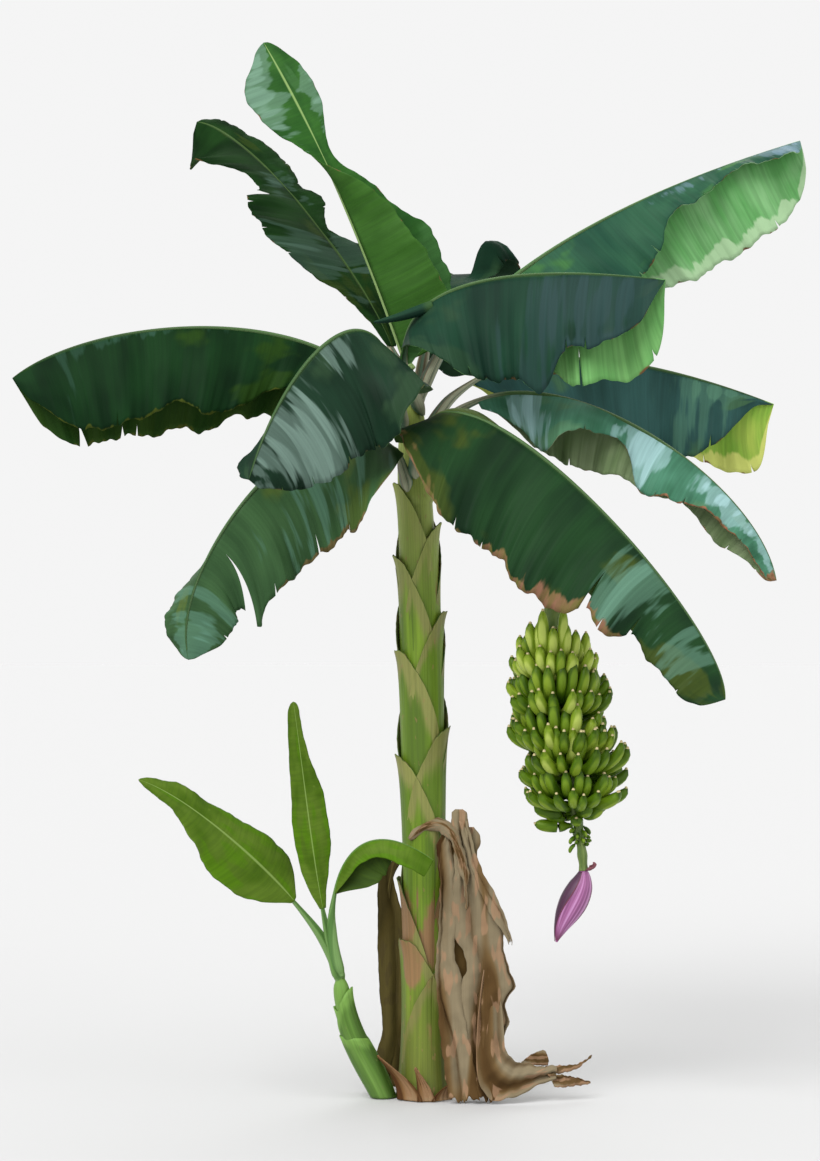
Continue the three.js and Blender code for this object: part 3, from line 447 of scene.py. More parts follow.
# %% The measures of each leaf
LEAVES = {
    "spear": dict(
        rib=[[-65, 0, 3040], [-235, -30, 3525], [-440, -55, 4020], [-685, 130, 4450]],
        stalk=0.03, face=[0, -1, 0.15],
        left=dict(width=[[0, 120], [0.1, 258], [0.22, 255], [0.36, 205], [0.5, 132], [0.58, 84], [0.66, 98],
                         [0.74, 158], [0.82, 180], [0.88, 168], [0.95, 90], [1, 22]],
                  hang=[[0, 156], [0.35, 150], [0.48, 105], [0.56, 50], [0.64, 20], [0.74, 12], [1, 5]],
                  curl=[[0, -8], [0.35, -12], [0.48, -80], [0.56, -90], [0.64, -30], [0.74, 0], [1, 15]],
                  sweep=[[0, 0.1], [0.7, 0.05], [1, 0.1]]),
        right=dict(width=[[0, 120], [0.1, 265], [0.22, 310], [0.3, 300], [0.41, 190], [0.5, 130],
                          [0.61, 40], [0.76, 95], [0.88, 92], [1, 22]],
                   hang=0, curl=10, sweep=0.1),
    ),
    "back_left_high": dict(
        rib=[[-105, 30, 2960], [-40, 20, 3205], [-775, 755, 4220], [-1015, 722, 4212]],
        stalk=0.12, face=[0.4, -0.5, 0.7],
        left=dict(width=[[0, 25], [0.16, 125], [0.3, 310], [0.38, 385], [0.5, 350], [0.565, 300], [0.6, 180],
                         [0.68, 210], [0.77, 345], [0.84, 325], [0.9, 285], [0.96, 205], [1, 90]],
                  hang=[[0, 10], [0.75, 10], [0.9, -15], [1, -35]], curl=15,
                  sweep=[[0, 0.1], [0.75, 0.1], [0.9, -0.1], [1, -0.25]],
                  tears=[[0.57, 0.42, 60]]),
        right=dict(width=[[0, 25], [0.2, 180], [0.38, 165], [0.44, 50], [0.57, 155], [0.62, 100],
                          [0.74, 150], [0.85, 110], [0.95, 90], [1, 60]],
                   hang=10, curl=15, sweep=0.1),
    ),
    "left": dict(
        rib=[[-120, -20, 2795], [-230, -190, 3355], [-1365, -175, 3290], [-1705, -200, 3000]],
        stalk=0.2,
        left=dict(width=[[0, 30], [0.06, 180], [0.12, 225], [0.19, 262], [0.28, 352], [0.38, 412], [0.47, 342],
                         [0.57, 362], [0.67, 400], [0.78, 388], [0.85, 345], [0.9, 280], [0.96, 165], [1, 70]],
                  hang=-62, curl=20, sweep=0.1, tears=[[0.7, 0.12, 10]]),
        right=dict(width=[[0, 30], [0.1, 320], [0.17, 342], [0.23, 372], [0.265, 345], [0.36, 446], [0.48, 428],
                          [0.6, 432], [0.7, 424], [0.78, 420], [0.86, 404], [0.93, 330], [1, 200]],
                   hang=-73, curl=15, sweep=0.1, tears=[[0.7, 0.1, 26], [0.87, 0.25, 50]]),
    ),
    "front_left": dict(
        rib=[[-95, -60, 2785], [-135, -380, 3560], [-580, -550, 3070], [-695, -760, 2560]],
        stalk=0.12, smooth=0.2,
        left=dict(width=[[0, 60], [0.02, 160], [0.06, 255], [0.14, 345], [0.26, 490], [0.36, 515], [0.46, 465],
                         [0.6, 410], [0.75, 345], [0.88, 225], [1, 50]],
                  hang=[[0, -10], [0.15, -25], [0.35, -50], [0.6, -68], [1, -78]], curl=15,
                  sweep=[[0, 0], [0.3, 0.1], [0.6, 0.3], [1, 0.3]]),
        right=dict(width=[[0, 30], [0.12, 180], [0.3, 300], [0.6, 280], [0.78, 120], [0.86, 95], [0.94, 85], [1, 40]],
                   hang=[[0, -60], [0.4, -84], [0.76, -82], [0.84, -20], [0.92, 20], [1, 20]],
                   curl=[[0, 10], [0.76, 10], [0.86, 60], [1, 60]], sweep=0.2),
    ),
    "low_left": dict(
        rib=[[-75, -75, 2535], [-185, -230, 3255], [-1085, -480, 2320], [-955, -470, 1845]],
        stalk=0.1, face=[-0.6, -0.3, 0.8], smooth=0.15,
        left=dict(width=[[0, 60], [0.08, 385], [0.16, 475], [0.3, 415], [0.53, 365], [0.6, 335], [0.672, 316],
                         [0.69, 240], [0.74, 208], [0.83, 205], [0.92, 180], [1, 100]],
                  hang=[[0, -20], [0.15, -45], [0.3, -65], [1, -75]], curl=15,
                  sweep=[[0, 0], [0.3, 0.2], [0.5, 0.35], [0.67, 0.66], [0.76, 0.5], [0.87, 0.3], [1, 0.3]],
                  tears=[[0.4, 0.2, 12], [0.68, 0.75, 28]]),
        right=dict(width=[[0, 30], [0.12, 180], [0.4, 260], [0.7, 150], [0.9, 135], [1, 80]],
                   hang=[[0, -70], [0.5, -88], [0.7, -20], [0.85, 20], [1, 20]], curl=10, sweep=0.2),
    ),
    "front_right_high": dict(
        rib=[[-5, -45, 2855], [-360, -180, 3520], [550, -460, 3430], [960, -540, 3370]],
        stalk=0.15, smooth=0.15,
        left=dict(width=[[0, 30], [0.18, 200], [0.47, 350], [0.71, 445], [0.84, 430], [0.93, 385], [1, 270]],
                  hang=[[0, -15], [0.15, -60], [0.6, -80], [1, -85]], curl=10,
                  sweep=[[0, 0.15], [0.75, 0.1], [0.9, 0.25], [1, 0.6]],
                  tears=[[0.73, 0.35, 14]]),
        right=dict(width=[[0, 36], [0.03, 46], [0.07, 75], [0.1, 125], [0.14, 208], [0.2, 305], [0.27, 375],
                          [0.37, 437], [0.52, 465], [0.63, 488], [0.695, 345], [0.82, 320], [0.94, 240], [1, 80]],
                   hang=[[0, -45], [0.12, -50], [0.3, -60], [1, -62]], curl=20,
                   sweep=[[0, -0.05], [0.25, -0.03], [1, 0.1]]),
    ),
    "right_high": dict(
        rib=[[-35, 10, 2880], [90, 125, 3520], [1145, 340, 3925], [1635, 420, 4080]],
        stalk=0.25,
        left=dict(width=[[0, 30], [0.15, 250], [0.4, 370], [0.63, 402], [0.8, 340], [0.93, 255], [1, 80]],
                  hang=[[0, -60], [0.4, -85], [1, -98]], curl=0, sweep=0.1),
        right=dict(width=[[0, 30], [0.15, 260], [0.36, 330], [0.46, 275], [0.55, 160], [0.69, 135],
                          [0.76, 75], [0.95, 110], [1, 25]],
                   hang=[[0, -62], [0.4, -50], [0.8, -20], [1, -10]], curl=20, sweep=0.15),
    ),
    "right_back": dict(
        rib=[[0, 40, 2750], [195, 250, 3340], [1080, 530, 3120], [1545, 600, 2945]],
        stalk=0.2,
        left=dict(width=[[0, 30], [0.15, 260], [0.5, 345], [0.8, 345], [0.9, 340], [0.96, 320], [1, 290]],
                  hang=[[0, -60], [1, -75]], curl=15, sweep=[[0, 0.05], [0.7, 0.1], [0.88, 0.3], [1, 0.62]],
                  tears=[[0.6, 0.5, 18]]),
        right=dict(width=[[0, 30], [0.2, 380], [0.37, 447], [0.58, 455], [0.71, 385], [0.79, 305],
                          [0.85, 235], [0.9, 130], [0.94, 50], [1, 20]],
                   hang=[[0, -65], [1, -70]], curl=15, sweep=0.1),
    ),
    "right_low": dict(
        rib=[[-10, -16, 2660], [205, -165, 3350], [1345, -380, 2660], [1425, -390, 2165]],
        stalk=0.19,
        left=dict(width=[[0, 30], [0.12, 220], [0.3, 270], [0.45, 215], [0.54, 225], [0.67, 150],
                         [0.8, 165], [0.9, 105], [1, 40]],
                  hang=[[0, -75], [1, -85]], curl=15, sweep=0.15),
        right=dict(width=[[0, 60], [0.1, 165], [0.22, 285], [0.33, 170], [0.42, 95], [0.53, 235],
                          [0.63, 235], [0.7, 160], [0.85, 95], [1, 45]],
                   hang=[[0, -55], [0.15, -62], [0.3, -25], [0.46, -62], [0.65, -30], [0.8, -45], [1, -50]],
                   curl=20, sweep=0.15, tears=[[0.92, 0.5, 14]]),
    ),
    "front_right": dict(
        rib=[[-40, -85, 2590], [-85, -460, 3440], [1215, -655, 2025], [1170, -800, 1700]],
        stalk=0.07, face=[0.4, -0.3, 1], smooth=0.15,
        left=dict(width=[[0, 30], [0.15, 200], [0.5, 290], [0.85, 220], [0.96, 130], [1, 30]],
                  hang=[[0, -15], [0.15, -60], [0.7, -80], [1, -40]], curl=10, sweep=0.2),
        right=dict(width=[[0, 100], [0.08, 260], [0.15, 450], [0.24, 490], [0.38, 445], [0.5, 455],
                          [0.6, 405], [0.64, 330], [0.69, 335], [0.735, 285], [0.76, 225], [0.82, 235],
                          [0.94, 180], [1, 75]],
                   hang=[[0, 0], [0.15, -35], [0.4, -50], [1, -45]], curl=15,
                   sweep=[[0, 0], [0.3, 0.2], [1, 0.2]], tears=[[0.63, 0.5, 26], [0.75, 0.3, 12]]),
    ),
    "back": dict(
        rib=[[-35, 30, 2860], [35, 280, 3640], [230, 1000, 3760], [200, 1620, 3150]],
        stalk=0.2,
        left=dict(width=[[0, 30], [0.12, 190], [0.3, 215], [0.5, 260], [0.85, 210], [0.95, 130], [1, 40]],
                  hang=[[0, 20], [0.4, 25], [1, -20]], curl=20, sweep=0.1, tears=[[0.6, 0.5, 24]]),
        right=dict(width=[[0, 30], [0.12, 200], [0.25, 225], [0.35, 280], [0.45, 285], [0.6, 250], [0.7, 235],
                          [0.85, 220], [0.95, 130], [1, 40]],
                   hang=[[0, 5], [0.3, 0], [0.7, -10], [1, -20]], curl=[[0, -10], [0.5, -10], [0.7, 0], [1, 20]],
                   sweep=0.1, lobe=[0.36, 0.07, 138], tears=[[0.74, 0.6, 20]]),
    ),
    "back_left": dict(
        rib=[[-90, 50, 2760], [-175, 400, 3430], [-550, 1245, 3290], [-585, 1480, 2595]],
        stalk=0.22,
        left=dict(width=[[0, 30], [0.15, 240], [0.5, 310], [0.85, 230], [0.95, 130], [1, 30]],
                  hang=[[0, -10], [1, -40]], curl=30, sweep=0.2, tears=[[0.5, 0.6, 26]]),
        right=dict(width=[[0, 30], [0.15, 240], [0.5, 310], [0.85, 230], [0.95, 130], [1, 30]],
                   hang=[[0, -10], [1, -40]], curl=30, sweep=0.2,
                   tears=[[0.35, 0.5, 22], [0.7, 0.4, 16]]),
    ),
}

# %% [markdown]
# ### From the rib to the margin
# A point of the blade is found in steps: its place on the rib, the width of the half there, an arc that
# carries it down and curls it, a wave that ruffles it towards the margin, and a sweep towards the tip. All
# points are worked out at once in arrays, which is why a crown of leaves takes only a second. The width is
# never quite the table's: a seeded sum of waves makes it wander, as a real margin does.

# %% Lay out a blade on its rib
NICK_PLACE, NICK_DEPTH, NICK_GAP = (0.12, 0.96), (0.05, 0.13), (5, 12)
TEAR_SPACING, TEAR_DROOP = 0.04, 7


def sway(pick, length, waves):
    """A line that wanders as a sum of waves: (waves per metre, height) pairs, seeded."""
    parts = [(FULL_TURN * per_metre * length, height, pick.uniform(*ANY_PHASE)) for per_metre, height in waves]
    return lambda b: sum(height * np.sin(turn * b + start) for turn, height, start in parts)


def blade_points(leaf, half, sign, b, out, droop, width_sway, hang_sway, pleat):
    """Points of one half. b runs from stalk to tip, out from rib to margin."""
    share = leaf["stalk"] + (1 - leaf["stalk"]) * b
    at, tangent, normal, side = leaf["curve"].frames(share, leaf.get("face", (0, 0, 1)), leaf.get("smooth", 0.1))
    width = profile(half["width"], b) * MM * (1 + width_sway(b) * out**2)
    curl = np.radians(along(half["curl"], b))
    curl = np.where(np.abs(curl) < 1e-6, 1e-6, curl)
    fade = np.clip(b * 8, 0, 1)
    start = np.radians(along(half["hang"], b) + hang_sway(b) * fade - droop * out)
    slope = start - curl * out
    across = (np.sin(start) - np.sin(slope)) / curl * width
    rise = (np.cos(slope) - np.cos(start)) / curl * width
    lift = pleat(b) * out**1.7 * fade
    if "lobe" in half:
        middle, reach, height = half["lobe"]
        dome = np.interp(out, [0, 0.4, 0.47, 0.56, 0.66, 0.78, 0.9, 1], [0, 0, 0.45, 0.86, 1, 0.94, 0.74, 0.3])
        lift = lift + height * MM * dome * np.exp(-((b - middle) / reach) ** 4)
    return (at + side * (sign * (across - lift * np.sin(slope)))[..., None]
            + normal * (rise + lift * np.cos(slope))[..., None]
            + tangent * (along(half["sweep"], b) * width * out**2)[..., None])


def patches(spots, side, b, out):
    """Adds up soft spots: (side, b, out, reach along b, reach along out, strength)."""
    total = 0 * (b + out)
    for where, b0, out0, reach_b, reach_out, strength in spots:
        if where in (side, "both"):
            total = total + strength * np.exp(-((b - b0) / reach_b) ** 2 - ((out - out0) / reach_out) ** 2)
    return total


def blade(name, leaf, nodes, paints, seed, shine=(), dry=(), step=0.008, rows=17, ruffle=1.0,
          thickness=0.002, nicks=5, margin=0.34, tip=0.025):
    leaf["curve"] = Rib(leaf["rib"])
    length = leaf["curve"].length * (1 - leaf["stalk"])
    pick = np.random.default_rng(seed)
    piece = Piece(name)
    for sign, side in ((-1, "left"), (1, "right")):
        half = leaf[side]
        width_sway = sway(pick, length, ((1.9, 0.02), (4.3, 0.018), (9.1, 0.012), (19, 0.006)))
        hang_sway = sway(pick, length, ((0.9, 3.0 * ruffle), (2.3, 3.0 * ruffle), (5.1, 1.5 * ruffle)))
        pleat = sway(pick, length, ((5.3, 0.006 * ruffle), (11, 0.004 * ruffle), (23, 0.0022 * ruffle),
                                    (47, 0.001 * ruffle)))
        small = [[place, pick.uniform(*NICK_DEPTH), pick.uniform(*NICK_GAP)]
                 for place in pick.uniform(*NICK_PLACE, nicks)]
        tears = sorted(half.get("tears", []) + small)
        tears = [tear for k, tear in enumerate(tears) if k == 0 or tear[0] - tears[k - 1][0] > TEAR_SPACING]
        ends = [0.0] + [tear[0] for tear in tears] + [1.0]
        for k in range(len(ends) - 1):
            columns = max(3, round((ends[k + 1] - ends[k]) * length / step))
            q = np.linspace(0, 1, columns + 1)[:, None]
            out = (np.linspace(0, 1, rows) ** 0.9)[None, :]
            before = tears[k - 1] if k else (0, 1.0, 0)
            after = tears[k] if k < len(tears) else (0, 1.0, 0)
            open_0, open_1 = (np.clip((out - 1 + t[1]) / t[1], 0, 1) * bool(t[2]) for t in (before, after))
            b = (ends[k] + (ends[k + 1] - ends[k]) * q + open_0 * (1 - q) * before[2] * MM / 2 / length
                 - open_1 * q * after[2] * MM / 2 / length)
            turned = pick.uniform(-0.2, 1.0) * TEAR_DROOP * (open_0 * (1 - q) * min(1, before[1] * 2)
                                                            + open_1 * q * min(1, after[1] * 2))
            rounded = np.sqrt(np.clip(1 - (np.clip(b - 1 + tip, 0, tip) / tip) ** 2, 0.0, 1))
            points = blade_points(leaf, half, sign, b, out * rounded, turned, width_sway, hang_sway, pleat)
            worn = patches(dry, side, b, out) + margin * np.clip(out * 24 - 23, 0, 1)
            piece.add(points, np.stack([b * length, sign * out + 0 * b], -1), flip=sign > 0, tone=worn,
                      shine=patches(shine, side, b, out))
    piece.finish(nodes, paints, thickness, under=1, rim=1)


# %% [markdown]
# ## Stalks and midribs
# The stalk of a banana leaf is a gutter: round underneath, hollow on top. It runs on through the whole
# blade as the midrib, getting thinner to the tip. One tube with a groove in its upper side makes both, so
# leaf and stalk can't come apart. Its edges are brown and papery where it leaves the stem.

# %% Gutter-shaped stalks
def gutter(name, leaf, radii, nodes, paints, rib_start=13.0, rib_end=2.0, reach=0.975, sides=20):
    rib, stalk = leaf["curve"], leaf["stalk"]
    share = np.concatenate([np.linspace(0, stalk, 24)[:-1], np.linspace(stalk, reach, 80)])
    smooth = np.interp(share, [0, stalk, stalk + 0.12], [0.01, 0.05, leaf.get("smooth", 0.1)])
    at, _, normal, side = rib.frames(share, leaf.get("face", (0, 0, 1)), smooth)
    b = np.clip((share - stalk) / (1 - stalk), 0, 1)
    on_stalk = profile(radii, np.clip(share / stalk, 0, 1))
    on_blade = rib_end + (rib_start - rib_end) * (1 - b) ** 0.8
    blend = np.clip((share / stalk - 0.55) / 0.6, 0, 1)
    blend = blend * blend * (3 - 2 * blend)
    radius = (on_stalk * (1 - blend) + on_blade * blend) * MM
    middle = at - normal * (radius * 0.75 * blend)[:, None]
    turn = np.linspace(0, 2 * np.pi, sides, endpoint=False)
    groove = 1 - 0.5 * np.exp(-((turn - np.pi / 2) / 0.62) ** 2)
    ring = radius[:, None] * groove[None, :]
    points = (middle[:, None] + side[:, None] * (ring * np.cos(turn))[..., None]
              + normal[:, None] * (ring * np.sin(turn))[..., None])
    grain = np.stack([np.broadcast_to(turn / FULL_TURN, ring.shape), (share * rib.length)[:, None] + 0 * ring], -1)
    piece = Piece(name)
    piece.add(points, grain, closed=True, flip=True, tone=b[:, None])
    piece.cap(points[0], middle[0])
    piece.cap(points[-1], middle[-1], flip=True)
    piece.finish(nodes, paints)


def stalk_finish(name, top, below, rim, rib, rib_far):
    """Top, flanks and edges of the gutter, and the midrib that it turns into."""
    made = Finish(name, 0.5, level=0.3)
    wave = made.streaks(5, 2.6, 3.0, 2.0)
    round_x = made.math("ADD", made.x, made.math("MULTIPLY", made.math("SUBTRACT", wave, 0.5), 0.16))
    from_top = made.math("ABSOLUTE", made.math("SUBTRACT", made.math("FRACT", made.math("ADD", round_x, 0.25)), 0.5))
    colour = made.shades(from_top, (0.04, top), (0.12, rim), (0.17, below), (0.34, below), (0.42, top))
    on_blade = made.spread(made.mark("tone"), 0.0, 0.1)
    midrib = made.shades(made.mark("tone"), (0.1, rib), (0.9, rib_far))
    colour = made.over(colour, on_blade, midrib)
    lines = made.streaks(46, 2.0, 2.0, 6.0)
    colour = made.over(colour, made.spread(lines, 0.35, 0.65, 0.22, 0.0), "2c3a20")
    made.relief(lines, 0.002)
    return [made.colour(colour)]


STALK_PAINT = stalk_finish("leaf_stalk", "5c7a62", "9c9e84", "705a40", "4a6a38", "3c5a30")
SPEAR_STALK = stalk_finish("spear_stalk", "7c985a", "86a060", "86a060", "84a060", "6f8f50")

# %% [markdown]
# ## Twelve leaves
# Each leaf gets its blade and its gutter. A strongly bent leaf is two solids in the plan, inner and outer,
# and one blade here stands for both. The folded spear in the middle is the youngest. The oldest leaves hang
# lowest, and show more wear. For each leaf a short list says where its painted sheen lies and where it is dry.

# %% Grow the crown
# Each entry: the pair of finishes, spots of painted sheen, and spots where the leaf is dry.
LOOKS = {
    "spear": ("spear", [("left", 0.87, 0.75, 0.24, 0.6, 1.0), ("right", 0.8, 0.9, 0.14, 0.5, 0.8)], []),
    "back_left_high": ("bronze", [("both", 0.32, 0.5, 0.16, 0.8, 0.75), ("both", 0.64, 0.3, 0.1, 0.7, 0.6)],
                       [("both", 0.2, 0.1, 0.1, 0.3, 0.2)]),
    "left": ("deep", [("left", 0.6, 0.0, 0.3, 0.16, 0.7), ("left", 0.8, 0.5, 0.08, 0.4, 0.5)],
             [("left", 0.5, 1.0, 0.6, 0.1, 0.22), ("right", 0.5, 1.0, 0.6, 0.06, 0.2)]),
    "front_left": ("streaked", [("left", 0.76, 0.6, 0.2, 0.9, 0.9), ("left", 0.45, 0.1, 0.12, 0.3, 0.5),
                                ("left", 0.9, 0.2, 0.06, 0.4, 0.3)], []),
    "low_left": ("teal", [("left", 0.4, 0.5, 0.35, 0.9, 0.5), ("both", 0.93, 0.4, 0.14, 0.8, 0.75)],
                 [("left", 0.3, 1.0, 0.2, 0.14, 0.5)]),
    "front_right_high": ("slate", [("right", 0.8, 0.4, 0.3, 0.8, 0.95), ("right", 0.8, 1.0, 0.2, 0.12, 0.5)], []),
    "right_high": ("high", [("right", 0.62, 0.3, 0.1, 0.4, 0.6), ("right", 0.95, 0.5, 0.12, 1.0, 0.9)], []),
    "right_back": ("lime", [("right", 0.3, 0.5, 0.12, 0.7, 0.3), ("right", 0.72, 0.5, 0.15, 0.8, 0.55),
                            ("right", 0.86, 0.12, 0.12, 0.15, 0.9)], []),
    "right_low": ("bluish", [("right", 0.14, 0.5, 0.1, 0.9, 0.9), ("right", 0.48, 0.5, 0.08, 1.2, 0.9),
                             ("right", 0.8, 0.3, 0.2, 0.6, 0.85)],
                  [("right", 0.75, 1.0, 0.2, 0.14, 0.45), ("both", 1.0, 0.6, 0.05, 0.8, 0.7)]),
    "front_right": ("sunny", [("right", 0.02, 0.5, 0.05, 1.0, 0.5), ("right", 0.685, 0.5, 0.045, 1.0, 1.0),
                              ("right", 0.86, 0.4, 0.14, 0.8, 0.5)],
                    [("right", 0.56, 1.0, 0.08, 0.2, 0.85), ("right", 0.4, 1.0, 0.05, 0.12, 0.6),
                     ("right", 0.14, 1.0, 0.12, 0.3, 0.42), ("right", 0.69, 1.0, 0.035, 0.16, 0.7)]),
    "back": ("shaded", [("right", 0.4, 0.8, 0.06, 0.3, 0.5)], []),
    "back_left": ("deep", [("both", 0.5, 0.4, 0.3, 0.6, 0.4)], []),
}
RUFFLE = {"spear": 0.4, "back_left_high": 0.55, "back": 0.5, "left": 0.7}
NICKS = {"spear": 0, "left": 1}
BLUNT_TIPS = {"low_left": 0.16, "right_back": 0.1, "front_right_high": 0.16}
STALK_RADII = [[0, 7], [0.1, 22], [0.24, 31], [0.5, 27], [1, 20]]
for seed, (name, leaf) in enumerate(LEAVES.items(), start=21):
    green, shine, dry = LOOKS[name]
    nodes = [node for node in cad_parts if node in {"leaf_" + name + end for end in ("", "_inner", "_outer")}]
    blade("blade_" + name, leaf, nodes, GREENS[green], seed,
          shine, dry, ruffle=RUFFLE.get(name, 1.0), nicks=NICKS.get(name, 5), tip=BLUNT_TIPS.get(name, 0.025))
    gutter("stalk_" + name, leaf, STALK_RADII, ["petiole_" + name], SPEAR_STALK if name == "spear" else STALK_PAINT)

# %% [markdown]
# ## The rolled base of one leaf
# Where a blade hasn't quite opened, its lower margin is still rolled into a tube. The same helper makes the
# bananas and the round stalks later.

# %% Roll the margin
def tube(piece, rib, radii, sides=16, steps=24, a=0.0, b=1.0, face=(0, 0, 1), bumps=None, paint=0,
         tone=1.0, shine=None):
    t = np.linspace(0, 1, steps)
    at, _, normal, side = rib.frames(a + (b - a) * t, face, 0.01)
    turn = np.linspace(0, 2 * np.pi, sides, endpoint=False)
    ring = np.broadcast_to((profile(radii, t) * MM)[:, None], (steps, sides)).copy()
    if bumps is not None:
        ring *= bumps(t[:, None], turn[None, :])
    points = (at[:, None] + side[:, None] * (ring * np.cos(turn))[..., None]
              + normal[:, None] * (ring * np.sin(turn))[..., None])
    grain = np.stack([np.broadcast_to(turn / FULL_TURN, ring.shape), (t * rib.length)[:, None] + 0 * ring], -1)
    piece.add(points, grain, closed=True, flip=True, paint=paint, tone=tone * t[:, None],
              shine=shine(t[:, None], turn[None, :]) if shine else 0.0)
    piece.cap(points[0], at[0], paint=paint)
    piece.cap(points[-1], at[-1], flip=True, paint=paint)


roll = Piece("rolled_margin")
tube(roll, Rib([[30, -240, 3292], [-40, -245, 3272], [-110, -245, 3240], [-212, -250, 3226]]),
     [[0, 26], [0.4, 21], [0.8, 12], [1, 4]], steps=30, tone=0.0)
roll.finish([], [GREENS["slate"][0]])

# %% [markdown]
# ## The pseudostem
# The "trunk" is a stack of leaf sheaths. Each one wraps right round, and from its tip the two margins fall
# away and meet at the back, so the stem shows a plait of slanting edges. The oldest sheath is outermost and
# ends lowest. Every sheath here is a shell that stands a little proud at its margin and lies deeper further
# down, so at any height the one that ends soonest covers the others. The margin itself is rolled and dark.

# %% Measures of the stem
STEM_TOP = 3040
STEM_RADII = [[0, 130], [0.05, 112], [0.12, 101], [0.27, 94], [0.42, 97], [0.56, 95], [0.7, 87],
              [0.82, 77], [0.88, 70], [0.94, 50], [1, 26]]
SHEATHS = [[2570, 200], [2470, 85], [2402, -15], [2268, 192], [2150, 95], [2037, -8], [1873, 202],
           [1740, 80], [1550, -18], [1432, 198], [1180, 60], [915, 165], [668, 215], [560, -35]]
SHEATH_DROP = 0.027
GRAIN_RADIUS = 0.095


def stem_point(height, degrees, radius):
    """A point round the stem; height and radius in millimetres."""
    at = stem_rib.at(np.clip(height / STEM_TOP, 0, 1))
    turn = np.radians(degrees)
    return at + np.stack([np.cos(turn), np.sin(turn), 0 * turn], -1) * (radius * MM)[..., None]


def stem_radius(height):
    return profile(STEM_RADII, height / STEM_TOP)


# %% [markdown]
# ### The finish of a sheath
# A sheath is bright green where a younger one has just let go of it, and dull olive near its own margin. Low
# on the plant it dries in patches. Near the top it is painted lighter, a painted light that makes up for the
# shade of the crown. The height above the ground is part of each point's grain, so the finish can tell how
# high it is.

# %% The stem's finish
def sheath_finish(name, green, shade, olive, dry, light):
    """Olive near the margin, green further down, painted light near the top, dry patches low on the plant."""
    bark = Finish(name, 0.5, level=0.3)
    broad = bark.streaks(13, 1.1, 3.0, 1.0)
    colour = bark.shades(broad, (0.36, shade), (0.52, green), (0.68, light))
    near_margin = bark.patch(bark.mark("tone"), bark.streaks(22, 1.6, 3.0, 4.0), 0.35, 0.14)
    colour = bark.over(colour, near_margin, olive)
    # Painted light: towards the top of the stem the colour is lifted to a pale olive, against the crown's shade.
    colour = bark.over(colour, bark.spread(bark.y, 1.95, 2.45, 0.0, 0.7), "9ca856")
    colour = bark.over(colour, bark.spread(bark.y, 0.1, 0.8, 0.6, 0.0), "605c2a")
    low = bark.math("MINIMUM", bark.spread(bark.y, 0.35, 0.7, 0.12, 0.5), bark.spread(bark.y, 0.8, 1.0, 0.5, 0.0))
    blotch = bark.patch(low, bark.streaks(11, 3.2, 3.0, 8.0), 0.8, 0.1)
    colour = bark.over(colour, blotch, dry)
    lines = bark.streaks(130, 0.9, 2.0, 3.0)
    colour = bark.over(colour, bark.spread(lines, 0.35, 0.62, 0.2, 0.0), "2c3814")
    freckles = bark.spread(bark.streaks(60, 24, 2.0, 9.0), 0.66, 0.74, 0.0, 0.5)
    colour = bark.over(colour, freckles, dry)
    bark.relief(bark.math("ADD", lines, bark.math("MULTIPLY", bark.streaks(30, 1.0, 2.0, 5.0), 1.5)), 0.0022)
    return bark.colour(colour)


stem_paint = sheath_finish("stem_sheath", "5f7c18", "4c6614", "7e8044", "8a6a46", "789426")
edge_finish = Finish("sheath_margin", 0.65, level=0.2)
edge_paint = edge_finish.colour(edge_finish.shades(edge_finish.streaks(30, 6, 3.0), (0.42, "34501c"), (0.66, "66583a")))

# %% [markdown]
# ### Sheath by sheath
# A plain core fills the middle. Each sheath starts at its tip and is laid downwards from its margin, which
# falls away to both sides as the square of the turn. A narrow lip rolls the margin inwards.

# %% Build the stem
stem = Piece("stem_sheaths")
heights = np.linspace(0, STEM_TOP, 200)[:, None]
turns = np.linspace(0, 360, 72, endpoint=False)[None, :]
core = stem_point(heights + 0 * turns, turns + 0 * heights, stem_radius(heights) - 9 * (heights < 2500) + 0 * turns)
stem.add(core, np.stack([np.radians(turns) * GRAIN_RADIUS + 0 * heights, heights * MM + 0 * turns], -1), closed=True)
stem.cap(core[0], core[0].mean(0), flip=True)
stem.cap(core[-1], core[-1].mean(0))

for number, (tip, direction) in enumerate(SHEATHS):
    turn = np.linspace(-180, 180, 97)[None, :]
    ragged = 4 * np.sin(np.radians(turn * 7 + number * 50)) + 2 * np.sin(np.radians(turn * 23 + number * 90))
    margin = np.maximum(tip - SHEATH_DROP * turn**2 + ragged * np.clip(1 - np.abs(turn) / 180, 0, 1), 6)
    reach = np.minimum(margin, 1000)
    down = reach * np.linspace(0, 1, 30)[:, None] ** 1.7
    point = np.clip(1 - np.abs(turn) / 45, 0, 1) ** 2
    tucked = np.clip((np.abs(turn) - 92) / 40, 0, 1)
    proud = (13 * np.exp(-down / 110) - 9 * (1 - np.exp(-down / 500)) + 15 * point * np.exp(-down / 50)
             - 20 * tucked**2 * (3 - 2 * tucked))
    fibre = 0.7 * np.sin(np.radians(turn * 41 + number * 31)) * np.exp(-down / 300)
    radius = stem_radius(margin - down) + proud + fibre
    points = stem_point(margin - down, direction + turn + 0 * down, radius)
    grain = np.stack([np.radians(turn) * GRAIN_RADIUS + number * 0.37 + 0 * down, (margin - down) * MM], -1)
    tone = 0.95 * np.exp(-down / (150 + 60 * np.sin(number * 2.4))) + 0 * turn
    stem.add(points, grain, tone=tone)
    lip = np.stack([stem_point(margin - sink, direction + turn, radius[:1] - inward)[0]
                    for sink, inward in ((0, 0), (-2.2, 2.0), (-0.5, 5.0), (14, 6.5))])
    lip_grain = np.stack([np.radians(turn) * GRAIN_RADIUS + 0 * lip[..., 0],
                          np.arange(4)[:, None] * 0.004 + 0 * turn], -1)
    stem.add(lip, lip_grain, flip=True, paint=1)
stem.finish(["pseudostem"], [stem_paint, edge_paint])

